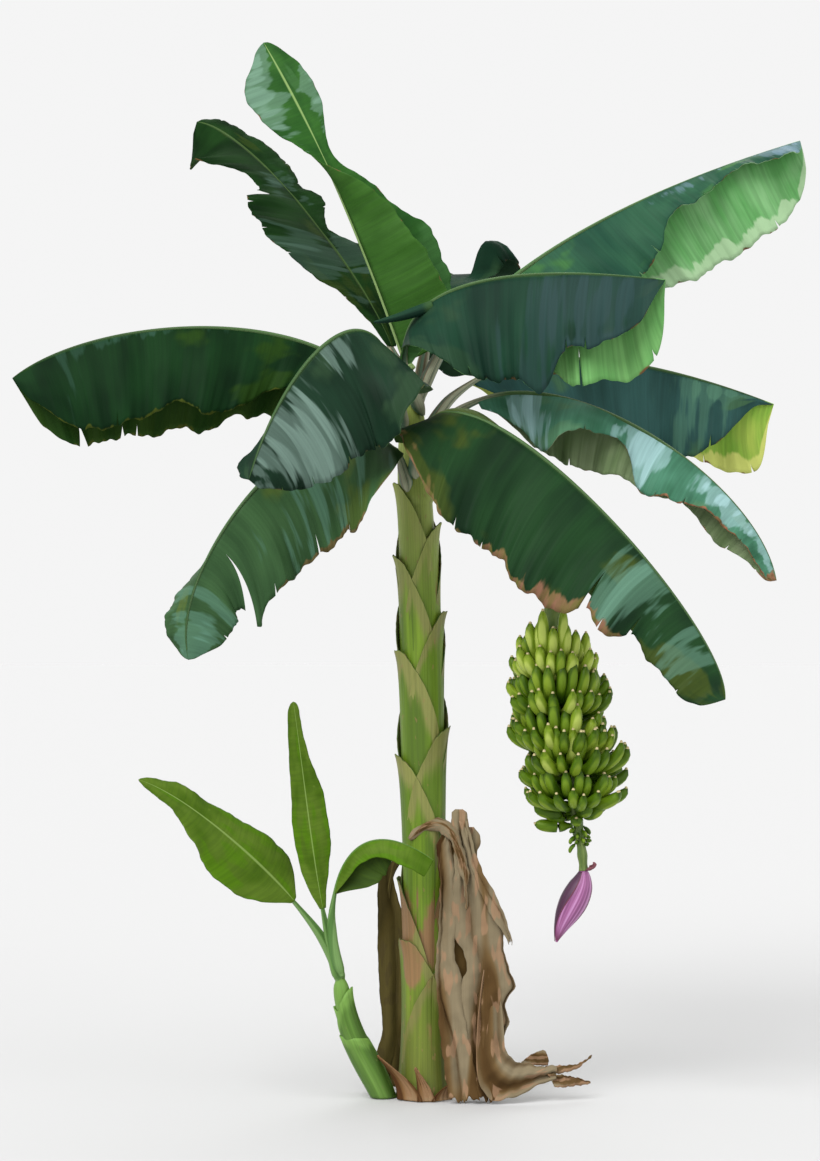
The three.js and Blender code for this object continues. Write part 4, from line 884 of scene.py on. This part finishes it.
# %% [markdown]
# ## The fruiting stalk and its bunch
# The stalk comes up through the stem, arches over and hangs. Bananas sit on it in hands: two rows of
# fingers on one shoulder. Each finger leaves its shoulder sideways and turns up to the light, which gives
# the curve that all bananas have. A finger has five soft ridges and ends in a dry tip.

# %% Fruit finishes
def fruit_finish(name, low, mid, high, painted_highlight_colour):
    skin = Finish(name, 0.36, coat=0.04, level=0.15)
    colour = skin.shades(skin.streaks(2.2, 11, 2.0, 4.0), (0.34, low), (0.5, mid), (0.7, high))
    # Painted highlight: lighter towards the upturned end of each finger, and a pale oval where the shine number marks
    # it.
    painted_tip_highlight = skin.spread(skin.mark("tone"), 0.45, 1.0, 0.0, 0.4)
    colour = skin.over(colour, painted_tip_highlight, high)
    colour = skin.over(colour, skin.spread(skin.mark("shine"), 0.3, 0.7, 0.0, 0.85), painted_highlight_colour)
    skin.relief(skin.streaks(14, 60, 3.0, 2.0), 0.0008)
    return skin.colour(colour)


def plain_finish(name, roughness, across, lengthwise, *stops, depth=0.002):
    made = Finish(name, roughness, level=0.3)
    made.relief(made.streaks(across * 3, lengthwise * 3, 3.0, 5.0), depth)
    return made.colour(made.shades(made.streaks(across, lengthwise, 3.0, 1.0), *stops))


FRUIT_PAINTS = [fruit_finish("banana_deep", "243a04", "304c05", "4c6a0e", "6e8a20"),
                fruit_finish("banana_mid", "324e05", "426208", "5e7a16", "829a2c"),
                fruit_finish("banana_light", "48660a", "668212", "8ea434", "b2c25e"),
                plain_finish("banana_tip", 0.7, 6, 40, (0.3, "94865a"), (0.6, "c8ba8c"), depth=0.0005),
                plain_finish("bunch_stalk", 0.5, 8, 12, (0.3, "46602a"), (0.7, "6c7e40"))]

# %% [markdown]
# ### Hand by hand
# A table gives each hand its height, the way it faces, its reach, how steeply its fingers rise and how many
# there are in a row. Below the hands a few fingers stand alone, with places of their own, and then only stubs
# are left. No two fingers are alike, so each gets small changes from one seeded generator.

# %% Build the hands
STALK_RIB = [[-20, -60, 2750], [265, -250, 3115], [600, -150, 2310], [535, -160, 2045]]
RACHIS_RIB = [[535, -160, 2045], [475, -168, 1800], [640, -165, 1250], [655, -165, 965]]
HANDS = [[1790, -90, 130, 62, 12], [1800, -95, 188, 54, 14], [1700, 85, 218, 48, 12], [1655, -75, 228, 43, 12],
         [1545, 115, 240, 42, 12], [1500, -125, 242, 40, 12], [1415, -45, 250, 40, 12], [1345, 95, 240, 38, 12],
         [1275, -100, 230, 32, 11]]
LAST_FINGERS = [[1205, -165, 190, 12], [1185, -178, 150, 22], [1152, 180, 195, 4], [1215, -70, 150, 12],
                [1200, -40, 130, 22], [1180, -95, 95, 8], [1210, 30, 160, 18], [1190, 120, 170, 10]]
HAND_SPREAD, ROW_DROP, STEEPEST = 192, 36, 65
# In the top two hands nine fingers in ten take the pale paint, a painted light on the top of the bunch; lower down one
# in ten, at random.
PALE_FROM_HEIGHT, PALE_SHARE_ABOVE, PALE_SHARE_BELOW = 1750, 0.9, 0.1
STUBS, STUB_TOP, STUB_STEP, GOLDEN_TURN = 18, 1150, 4.2, 360 * 0.618
FINGER_RADII = [[0, 9], [0.12, 11], [0.25, 20], [0.45, 23.5], [0.72, 23.5], [0.9, 19], [0.97, 12], [1, 8]]
rachis = Rib(RACHIS_RIB)
rachis_from_below = rachis.line[np.argsort(rachis.line[:, 2])]


def on_rachis(height):
    x, y, z = rachis_from_below.T
    return np.array([np.interp(height * MM, z, value) for value in (x, y, z)]) / MM


def five_ridges(t, turn):
    return 1 + 0.045 * np.cos(5 * turn) * np.clip(8 * t * (1 - t), 0, 1)


# The shine number of a finger: where its painted highlight lies, an oval on the outward side of its upper part.
def lit_back(t, turn):
    return np.clip(np.sin(turn) * 1.6 - 0.6, 0, 1) * np.exp(-((t - 0.72) / 0.2) ** 2)


def finger(piece, hub, turn, reach, rise, paint, girth):
    away = np.array([math.cos(math.radians(turn)), math.sin(math.radians(turn)), 0])
    up = math.tan(math.radians(rise)) * reach
    corners = [hub + away * r + np.array([0, 0, z]) for r, z in
               ((22, 0), (reach * 0.55, up * 0.05 - 12), (reach * 0.95, up * 0.35), (reach * 0.92, up * 0.9))]
    curve = Rib(corners)
    radii = [[t, r * girth] for t, r in FINGER_RADII]
    tube(piece, curve, radii, sides=12, steps=15, b=0.965, face=away, bumps=five_ridges, paint=paint, shine=lit_back)
    tube(piece, curve, [[0, 7 * girth], [0.6, 6 * girth], [1, 4 * girth]], sides=8, steps=3, a=0.96, b=1.0,
         face=away, paint=3)


bunch = Piece("banana_bunch")
for height, facing, reach, rise, count in HANDS:
    for row in range(2):
        hub = on_rachis(height - row * ROW_DROP)
        for i in range(count):
            place = i - (count - 1) / 2 + row * 0.5 - 0.25
            droop = 1 - 0.55 * abs(place) / count
            turn = facing + place * HAND_SPREAD / count + chance.uniform(-5, 5)
            far = reach * (1.03 if row else 0.82) * chance.uniform(0.90, 1.06)
            steep = min(rise * (0.7 if row else 1.1) * droop * chance.uniform(0.86, 1.12), STEEPEST)
            # Pale paint: painted light on the top hands, a random few lower down.
            pale = chance.random() < (PALE_SHARE_ABOVE if height > PALE_FROM_HEIGHT else PALE_SHARE_BELOW)
            light = 2 if pale else int(chance.random() < 0.6)
            lifted = hub + [0, 0, chance.uniform(-8, 8)]
            finger(bunch, lifted, turn, far, steep, light, chance.uniform(0.9, 1.1))
for height, turn, reach, rise in LAST_FINGERS:
    finger(bunch, on_rachis(height), turn, reach, rise, int(chance.random() < 0.4), 1.12)
for i in range(STUBS):
    hub = on_rachis(STUB_TOP - STUB_STEP * i)
    finger(bunch, hub, GOLDEN_TURN * i, chance.uniform(36, 52), chance.uniform(-48, -10), i % 2, 0.36)


def scars(t, turn):
    return 1 + 0.10 * np.sin(t * 95) * np.clip(t * 3 - 1.6, 0, 1) + 0.03 * np.sin(turn * 5)


tube(bunch, rachis, [[0, 42], [0.5, 34], [0.8, 22], [1, 19]], sides=20, steps=90, a=0.0004, bumps=scars, paint=4)
bunch.finish(["bunch"], FRUIT_PAINTS)

arch = Piece("arching_stalk")
tube(arch, Rib(STALK_RIB), [[0, 40], [0.5, 38], [1, 42]], sides=24, steps=60,
     bumps=lambda t, turn: 1 + 0.03 * np.sin(turn * 7 + t * 9) + 0.02 * np.sin(t * 60))
arch.finish(["fruit_stalk"], [FRUIT_PAINTS[4]])

# %% [markdown]
# ## The bud
# The male bud at the stalk's end is a slim cone of purple bracts. The outer ones are dark and dull. Where
# two of them part, a younger one shows, pale violet and glossy, and their margins are reddish. Each bract
# is a pointed shell that starts at the stalk and narrows to the common tip.

# %% Bracts
def bract_finish(name, low, mid, high, margin, roughness):
    made = Finish(name, roughness, coat=0.1, level=0.3)
    colour = made.shades(made.streaks(26, 2.2, 3.0, 1.0), (0.36, low), (0.5, mid), (0.66, high))
    colour = made.over(colour, made.spread(made.mark("tone"), 0.78, 0.98), margin)
    made.relief(made.streaks(90, 3, 2.0, 2.0), 0.001)
    return made.colour(colour)


BUD_PAINTS = [bract_finish("bract_inner", "74426c", "945886", "b884b2", "6a3050", 0.35),
              bract_finish("bract_outer", "341c30", "4c2a44", "683e5c", "74384c", 0.5),
              plain_finish("bract_scrap", 0.7, 20, 8, (0.3, "5c3038"), (0.7, "8a545e"))]
BUD_RIB = Rib([[655, -165, 965], [659.5, -165, 880], [575, -165, 790], [543, -165, 668]])
BUD_RADII = [[0, 17], [0.08, 31], [0.2, 47], [0.4, 55], [0.6, 47], [0.8, 27], [0.94, 10], [1, 3]]
BRACTS = [[260, 95, 0.99, 1.5], [330, 85, 0.985, 2.6], [222, 52, 0.99, 3.6], [-8, 78, 0.995, 4.6]]


def bract(piece, facing, reach, end, proud):
    t = np.linspace(0, 1, 34)[:, None]
    across = np.linspace(-1, 1, 25)[None, :]
    spread = reach * (1 - t**2.2 * 0.72) * np.clip((1 - t) * 9, 0.05, 1)
    at, _, normal, side = BUD_RIB.frames((0.012 + (end - 0.012) * t)[:, 0], (0, -1, 0), 0.02)
    turn = np.radians(facing + across * spread)
    radius = (profile(BUD_RADII, t) + proud * (0.5 + 0.5 * t) * (1 - 0.3 * across**2)) * MM
    points = (at[:, None] + side[:, None] * (radius * np.cos(turn))[..., None]
              + normal[:, None] * (radius * np.sin(turn))[..., None])
    piece.add(points, np.stack([turn * 0.05, t * 0.3 + 0 * turn], -1), flip=True, paint=1,
              tone=np.maximum(np.abs(across) ** 3, t**12) + 0 * turn)


bud = Piece("flower_bud")
tube(bud, BUD_RIB, BUD_RADII, sides=24, steps=34, a=0.0018, face=(0, -1, 0))
for facing, reach, end, proud in BRACTS:
    bract(bud, facing, reach, end, proud)
t, across = np.linspace(0, 1, 12)[:, None], np.linspace(-1, 1, 9)[None, :]
cup = Rib([[662, -180, 968], [690, -190, 962], [706, -185, 985], [694, -180, 1000]])
at, _, normal, side = cup.frames(t[:, 0], (0, -0.3, 1), 0.05)
half = 0.017 * np.sin(np.pi * (0.15 + 0.8 * t))
scrap = (at[:, None] + side[:, None] * (half * across)[..., None]
         + normal[:, None] * (half * 0.6 * across**2 + 0.002 * np.sin(9 * across + 7 * t))[..., None])
bud.add(scrap, np.stack([half * across, t * 0.06 + 0 * across], -1), paint=2)
bud.finish(["bud"], BUD_PAINTS, thickness=0.0012)

# %% [markdown]
# ## The sucker
# A young plant stands against the foot of its mother. It is the same plant in small: a stem of rolled
# sheaths, and three leaves in a fresher green.

# %% Grow the sucker
SUCKER_LEAVES = {
    "sucker_left": dict(
        rib=[[-350, -150, 490], [-375, -150, 765], [-940, -280, 1280], [-1175, -290, 1350]],
        stalk=0.33, face=[0.2, -0.6, 0.8],
        left=dict(width=[[0, 25], [0.1, 150], [0.25, 235], [0.4, 220], [0.55, 165], [0.75, 80],
                         [0.9, 45], [1, 18]],
                  hang=5, curl=10, sweep=0.2),
        right=dict(width=[[0, 25], [0.1, 140], [0.28, 150], [0.45, 115], [0.65, 90], [0.8, 85],
                          [0.94, 35], [1, 18]],
                   hang=5, curl=10, sweep=0.2),
    ),
    "sucker_up": dict(
        rib=[[-355, -160, 510], [-460, -175, 885], [-490, -180, 1285], [-545, -190, 1665]],
        stalk=0.26, face=[0.3, -1, 0],
        left=dict(width=[[0, 14], [0.1, 45], [0.22, 66], [0.38, 70], [0.57, 60], [0.82, 44], [1, 22]],
                  hang=0, curl=10, sweep=0.1),
        right=dict(width=[[0, 14], [0.08, 30], [0.22, 68], [0.33, 86], [0.55, 74], [0.78, 28], [1, 20]],
                   hang=0, curl=10, sweep=0.1),
    ),
    "sucker_right": dict(
        rib=[[-345, -165, 530], [-460, -200, 850], [-340, -235, 1290], [35, -295, 1020]],
        stalk=0.38,
        left=dict(width=[[0, 20], [0.1, 150], [0.3, 170], [0.5, 140], [0.7, 70], [0.86, 50], [1, 20]],
                  hang=[[0, -85], [1, -80]], curl=10, sweep=0.2),
        right=dict(width=[[0, 20], [0.12, 60], [0.3, 72], [0.5, 84], [0.7, 92], [0.86, 88], [1, 84]],
                   hang=[[0, -50], [1, -50]], curl=25, sweep=0.2),
    ),
}

SUCKER_STALK_RADII = [[0, 12], [0.08, 25], [0.3, 25], [0.6, 19], [1, 14]]
young_paint = sheath_finish("young_sheath", "4f7428", "3c5c1c", "6c9440", "6a7440", "78a04a")
young_stalk = stalk_finish("young_stalk", "4c7434", "6c9050", "5a803c", "5c8434", "507828")
for seed, (name, leaf) in enumerate(SUCKER_LEAVES.items(), start=61):
    nodes = [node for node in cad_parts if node.startswith("leaf_" + name)]
    # Each young leaf gets a soft painted sheen on its right half.
    blade("blade_" + name, leaf, nodes, GREENS["young"], seed,
          [("right", 0.5, 0.5, 0.4, 0.5, 0.22)], step=0.006, rows=13, ruffle=0.35, thickness=0.0015, nicks=0,
          margin=0.2, tip=0.03 if name == "sucker_right" else 0.06)
    gutter("stalk_" + name, leaf, SUCKER_STALK_RADII, ["petiole_" + name], young_stalk,
           rib_start=8, rib_end=1.5, sides=14)

SUCKER_RIB = Rib([[-162, -16, -28], [-230, -75, 170], [-335, -130, 260], [-352, -152, 520]])
SUCKER_RADII = [[0, 42], [0.3, 46], [0.52, 40], [0.62, 37], [0.8, 34], [0.93, 30], [1, 14]]
BASE_RADII = [[0, 50], [0.3, 58], [0.52, 54], [0.62, 46]]
SPIKE_RADII = [[0, 44], [0.4, 51], [0.6, 48], [0.8, 43], [1, 38]]
LOWEST_POINT, YOUNG_GRAIN_START = 0.003, 1.2
YOUNG_SHEATHS = [[0.93, 15, 0.36, SPIKE_RADII, 2], [0.80, 200, 0.16, SUCKER_RADII, 7],
                 [0.61, 172, 0.12, BASE_RADII, 0]]


def young_sheath(piece, tip, facing, drop, radii, proud):
    """A shell round the young stem. Its margin falls from a tip and meets itself at the other side."""
    turn = np.linspace(-180, 180, 49)[None, :]
    t = np.linspace(0, 1, 24)[:, None]
    margin = tip - drop * (turn / 180) ** 2
    share = margin * (1 - t * 0.96)
    at, _, normal, side = SUCKER_RIB.frames(share, (0, -1, 0), 0.02)
    point = 9 * np.clip(1 - np.abs(turn) / 50, 0, 1) ** 2 * np.exp(-t * 9)
    radius = (profile(radii, share) + proud * (1 - t) ** 2 + point) * MM
    around = np.radians(facing + turn + 0 * t)
    points = (at + side * (radius * np.cos(around))[..., None] + normal * (radius * np.sin(around))[..., None])
    points[..., 2] = np.maximum(points[..., 2], LOWEST_POINT)
    tone = np.exp(-t * 5) + 0 * turn
    grain = np.stack([around * 0.05, share * SUCKER_RIB.length + YOUNG_GRAIN_START], -1)
    piece.add(points, grain, tone=tone, flip=True)


young = Piece("sucker_sheaths")
tube(young, SUCKER_RIB, SUCKER_RADII, sides=28, steps=60, face=(0, -1, 0))
young.grain = [[x, y + YOUNG_GRAIN_START] for x, y in young.grain]
young.points = [[x, y, max(z, LOWEST_POINT)] for x, y, z in young.points]
for sheath in YOUNG_SHEATHS:
    young_sheath(young, *sheath)
young.finish(["sucker_stem"], [young_paint], thickness=0.0018)

# %% [markdown]
# ## Dry leaves
# Old leaves die from the bottom up, dry to brown paper and hang down the stem. Dry tissue shrinks between
# the veins, so it pleats along its length and splits into ribbons. A hanging sheet here is laid between two
# torn edges, row by row from its top to its foot, and folds that wander sideways push it in and out. The
# deeper side of each fold gets painted shade. A cloth simulation could fold it too, but wouldn't keep the
# torn outline.

# %% Hang the dry leaves
def dry_paint(name, dark, mid, light, blush):
    made = Finish(name, 0.85, level=0.1)
    colour = made.shades(made.streaks(8, 1.5, 1.0, 2.0), (0.38, dark), (0.45, mid), (0.53, light))
    # Darker where tone is high: painted shade on the deep side of each fold of the sheets, and the side edges of the
    # scales.
    colour = made.over(colour, made.spread(made.mark("tone"), 0.15, 0.9, 0.0, 0.85), dark)
    spots = made.spread(made.streaks(26, 9, 1.0, 6.0), 0.56, 0.62, 0.0, 0.7)
    colour = made.over(colour, spots, blush)
    fibres = made.streaks(130, 4, 3.0, 3.0)
    colour = made.over(colour, made.spread(fibres, 0.34, 0.6, 0.07, 0.0), "2c2014")
    made.relief(fibres, 0.001)
    return made.colour(colour)


DRY_PAINT = dry_paint("dry_leaf", "503b20", "675234", "7e725a", "96775c")
# A darker dry paint that stands for shade: the hollow inside the skirt and the under side of the dead stalk.
DRY_SHADE_PAINT = dry_paint("dry_leaf_painted_shade", "3a2410", "4c341a", "66502c", "5c4a30")
BACK_PAINT = dry_paint("dry_leaf_old", "3a3216", "4a401e", "564c28", "4c4226")
SCALE_PAINT = dry_paint("dry_scale", "4c3018", "7a5a38", "8f7456", "8a6a4c")


def hanging_sheet(piece, left, right, foot, depth, folds, deep, seed, paint=0, rows=100, columns=54, fray=1.0,
                  wander=1.0):
    """A dry sheet that hangs between two edges. The edges are [height, x], depth is [height, y]."""
    pick = np.random.default_rng(seed)
    u = np.linspace(0, 1, columns)[None, :]
    t = np.linspace(0, 1, rows)[:, None]
    top = left[-1][0]
    end = foot + fray * sum(h * np.sin(w * u + pick.uniform(*ANY_PHASE)) for w, h in ((7, 9), (19, 7), (41, 5)))
    z = top + (np.maximum(end, 4) - top) * t
    a, b, c, d = pick.uniform(*ANY_PHASE, 4)
    swing = wander * (1.1 * np.sin(t * 4.3 + a) + 0.6 * np.sin(t * 9.5 + b) + 0.25 * np.sin(t * 21 + c))
    wave = FULL_TURN * folds * u + swing + a
    v = np.clip(u + 0.10 / folds * np.sin(wave) * np.clip(t * 4, 0, 1), 0, 1)
    ripple = fray * (2.2 * np.sin(z / 17 + a) + 1.3 * np.sin(z / 7.3))
    x = profile(left, z) - ripple + (profile(right, z) - profile(left, z) + 2 * ripple) * v
    strength = 0.65 + 0.35 * np.sin(5 * u + 3.7 * t + d) * np.cos(7 * t - 3 * u + c)
    fold = (np.cos(wave) + 0.25 * np.cos(2.3 * wave + 1.7 + 3 * t)) * strength
    crease = 3.0 * np.sin(z / 31 + 6 * u + b) * np.cos(z / 47 - 4 * u) + 0.8 * np.sin(z / 9.1 - 9 * u + c)
    y = profile(depth, z) - fold * deep * np.clip(t * 5, 0.15, 1) + crease * fray
    points = np.stack([x + 0 * v, y, z + 0 * u], -1) * MM
    # tone marks the deep side of each fold, where the finish paints shade.
    tone = np.clip(-fold * 0.9 + 0.1, 0, 1)
    piece.add(points, np.stack([(x + 0 * y) * MM * 1.2, z * MM + 0 * u], -1), tone=tone, flip=True, paint=paint)


def train_sheet(piece, inner, outer, depth, folds, deep, seed, columns=90, rows=22):
    """A sheet that sweeps round between two edges. Edges are [share, x, height], depth is [share, y]."""
    pick = np.random.default_rng(seed)
    a, b, c = pick.uniform(*ANY_PHASE, 3)
    t = np.linspace(0, 1, columns)[:, None]
    v = np.linspace(0, 1, rows)[None, :]
    edges = []
    for edge, start in ((inner, a), (outer, b)):
        ragged = (3 * np.sin(t * 31 + start) + 1.5 * np.sin(t * 67)) * columns / 90
        edges.append([profile([[row[0], row[k]] for row in edge], t) + ragged * (k == 2) for k in (1, 2)])
    (x0, z0), (x1, z1) = edges
    x, z = x0 + (x1 - x0) * v, np.maximum(z0 + (z1 - z0) * v, 4)
    wide = np.clip(np.hypot(x1 - x0, z1 - z0) / 80, 0.1, 1)
    wave = FULL_TURN * folds * v + 1.2 * np.sin(5 * t + a) + c
    y = (profile(depth, t) - deep * np.cos(wave) * wide + 5 * np.sin(19 * t + 4 * v + b) * wide
         + 1.5 * np.sin(70 * t - 8 * v))
    long_way = np.hypot(x[-1] - x[0], z[-1] - z[0]).mean() * MM
    # tone marks the deep side of each fold, where the finish paints shade, fading on narrow parts.
    piece.add(np.stack([x, y, z], -1) * MM, np.stack([v * wide * 0.2, t * long_way + 0 * v], -1),
              tone=np.clip(-np.cos(wave) * 0.7 - 0.05, 0, 1) * wide, flip=True)


# %% [markdown]
# ### The skirt in front of the stem
# The largest dead leaf hangs in front of the stem's foot in layers: one inside in a darker paint, a broad one,
# a narrow one against the stem, and a torn flap on top. Where the layers part, the inner one shows as a hole,
# and its darker paint is painted shade for that hollow. The dead stalk is a short blade, curled hard, that
# bends over the top; its under side takes the same painted shade.

# %% The skirt of dead leaf in front
# The inner layer takes the darker paint (paint=1), painted shade for the hollow behind the others.
SKIRT_BACK = dict(left=[[30, 120], [300, 110], [600, 82], [900, 62], [1050, 48], [1108, 66]],
                  right=[[30, 300], [300, 300], [600, 285], [900, 235], [1050, 190], [1108, 160]], foot=30,
                  depth=[[30, -88], [600, -84], [1108, -98]], folds=3, deep=6, seed=5, paint=1)
SKIRT_MAIN = dict(left=[[30, 224], [172, 191], [297, 157], [422, 138], [490, 146], [560, 176], [630, 156],
                        [680, 126], [816, 112], [920, 120], [1045, 122], [1150, 108], [1188, 108], [1203, 114],
                        [1213, 127]],
                  right=[[20, 322], [68, 326], [140, 330], [230, 328], [285, 340], [327, 363], [388, 343],
                         [430, 356], [480, 387], [545, 362], [600, 342], [640, 336], [796, 320], [900, 270],
                         [962, 232], [1053, 199], [1150, 182], [1188, 178], [1203, 170], [1213, 154]],
                  foot=20, depth=[[10, -178], [90, -150], [400, -128], [800, -130], [1213, -106]], folds=1.8,
                  deep=23, seed=8, columns=70)
SKIRT_LEFT = dict(left=[[39, 95], [131, 82], [256, 66], [401, 45], [526, 33], [671, 45], [816, 53], [920, 57],
                        [1040, 62], [1104, 84]],
                  right=[[39, 222], [172, 200], [297, 172], [422, 152], [510, 150], [588, 126], [660, 118],
                         [712, 134], [837, 130], [962, 128], [1040, 112], [1104, 94]],
                  foot=14, depth=[[10, -172], [90, -154], [500, -136], [1104, -116]], folds=1.1, deep=15, seed=12)
SKIRT_SHAWL = dict(left=[[655, 350], [680, 338], [796, 262], [920, 205], [1080, 160], [1165, 140]],
                   right=[[655, 360], [671, 364], [796, 330], [900, 276], [962, 238], [1080, 200], [1165, 176]],
                   foot=668, depth=[[655, -132], [900, -142], [1165, -118]], folds=0.8, deep=8, seed=15,
                   rows=50, columns=20, wander=0.4)
SKIRT_EAR = dict(left=[[960, 200], [1040, 186], [1100, 172], [1138, 176]],
                 right=[[960, 216], [1040, 222], [1100, 228], [1138, 206]], foot=968,
                 depth=[[960, -100], [1138, -92]], folds=0.8, deep=8, seed=21, rows=24, columns=16)
skirt = Piece("dry_skirt")
for sheet in (SKIRT_BACK, SKIRT_MAIN, SKIRT_LEFT, SKIRT_SHAWL, SKIRT_EAR):
    hanging_sheet(skirt, **sheet)
skirt.finish(["leaf_dry_front"], [DRY_PAINT, DRY_SHADE_PAINT], thickness=0.0018)

# The dead stalk lies over the front of the stem, bends down and runs out in the skirt.
bent_stalk = dict(rib=[[-74, -92, 1078], [15, -118, 1200], [165, -150, 1235], [172, -176, 800]], stalk=0.02,
                  face=[0, -1, 0.35],
                  left=dict(width=[[0, 14], [0.1, 34], [0.25, 42], [0.45, 40], [0.7, 26], [1, 5]],
                            hang=-25, curl=40, sweep=0),
                  right=dict(width=[[0, 14], [0.1, 32], [0.25, 40], [0.45, 34], [0.7, 24], [1, 5]],
                             hang=-25, curl=40, sweep=0))
# Its under side takes the darker paint, painted shade under the curl.
blade("dry_stalk", bent_stalk, ["petiole_dry_front"], [DRY_PAINT, DRY_SHADE_PAINT], 3, ruffle=0.8,
      margin=0, nicks=0, step=0.01, rows=9)

# %% [markdown]
# ### The tail on the ground
# At its foot the skirt sweeps round and lies along the ground, where it is torn into tongues. Its folds have
# to turn with it, so this sheet is laid between two edges that are given as points along its length. An
# older strip hangs straight behind the stem.

# %% The torn tail on the ground, and the old strip behind the stem
tail = Piece("dry_tail")
train_sheet(tail, inner=[[0, 262, 640], [0.12, 232, 480], [0.24, 214, 300], [0.36, 212, 150], [0.46, 232, 66],
                         [0.57, 282, 18], [0.7, 352, 24], [0.84, 446, 60], [1, 544, 96]],
            outer=[[0, 276, 640], [0.12, 300, 500], [0.24, 318, 400], [0.36, 326, 300], [0.46, 330, 240],
                   [0.57, 352, 194], [0.7, 402, 164], [0.84, 468, 150], [1, 548, 140]],
            depth=[[0, -92], [0.12, -112], [0.24, -140], [0.36, -176], [0.5, -190], [0.75, -152], [1, -110]],
            folds=1.6, deep=16, seed=4, columns=110)
train_sheet(tail, inner=[[0, 500, 106], [0.4, 566, 112], [0.75, 634, 126], [1, 694, 168]],
            outer=[[0, 500, 146], [0.4, 560, 143], [0.75, 642, 147], [1, 698, 180]],
            depth=[[0, -118], [1, -40]], folds=0.8, deep=10, seed=9, columns=50, rows=9)
train_sheet(tail, inner=[[0, 526, 100], [0.08, 538, 64], [0.6, 630, 60], [1, 690, 66]],
            outer=[[0, 496, 122], [0.4, 570, 108], [0.8, 642, 90], [1, 690, 74]],
            depth=[[0, -126], [1, -70]], folds=1.1, deep=11, seed=2, columns=50, rows=12)
train_sheet(tail, inner=[[0, 398, 158], [0.5, 448, 148], [1, 512, 144]],
            outer=[[0, 400, 164], [0.45, 446, 196], [0.85, 500, 208], [1, 514, 166]],
            depth=[[0, -120], [1, -96]], folds=0.6, deep=6, seed=6, columns=26, rows=9)
tail.finish(["leaf_dry_tail", "petiole_dry_tail"], [DRY_PAINT], thickness=0.0018)

strip = Piece("dry_back_strip")
hanging_sheet(strip, left=[[40, -232], [110, -226], [158, -207], [264, -183], [433, -198], [687, -203], [898, -198],
                           [975, -169]],
              right=[[40, -92], [112, -90], [391, -84], [602, -78], [740, -88], [814, -112], [900, -132],
                     [975, -139]],
              foot=22, depth=[[22, 118], [500, 106], [975, 84]], folds=1.6, deep=8, seed=31, fray=0.35, wander=0.5)
strip.finish(["leaf_dry_back"], [BACK_PAINT], thickness=0.002)
old_stalk = dict(rib=[[-85, 60, 1010], [-190, 90, 980], [-175, 110, 500], [-150, 105, 110]], stalk=0.12,
                 face=[-0.3, -1, 0])
old_stalk["curve"] = Rib(old_stalk["rib"])
gutter("stalk_dry_back", old_stalk, [[0, 22], [0.5, 18], [1, 14]], ["petiole_dry_back"], [BACK_PAINT],
       rib_start=9, rib_end=3, sides=14, reach=0.5)

# %% [markdown]
# ## Scales round the foot
# Short dry scale leaves stand round the foot of the stem, with curled tips.

# %% Scales
# direction, height, half width in degrees, how far the tip leans out, and how far it turns
SCALES = {"left": [-118, 190, 24, 88, -34], "front": [-88, 150, 15, 34, -16], "right": [-60, 92, 20, 46, 12]}
SCALE_RADIUS, SCALE_FOOT = 136, 3
for seed, (name, (direction, height, reach, lean, twist)) in enumerate(SCALES.items()):
    scale = Piece("scale_leaf_" + name)
    x = np.linspace(0, 1, 30)[:, None]
    across = np.linspace(-1, 1, 21)[None, :]
    turn = across * reach * (1 - 0.93 * x**1.3)
    trough = 10 * across**2 * (1 - x) + 1.5 * np.sin(across * 14 + seed + 5 * x)
    rise = SCALE_FOOT + (height - SCALE_FOOT) * x * (1 - 0.06 * across**2)
    points = stem_point(rise, direction + turn + twist * x**1.4, SCALE_RADIUS + lean * x**2.2 + trough)
    scale.add(points, np.stack([np.radians(turn) * 0.13, x * height * MM + 0 * turn], -1),
              tone=0.9 * across**4 + 0 * x)
    scale.finish(["scale_" + name], [SCALE_PAINT], thickness=0.004)
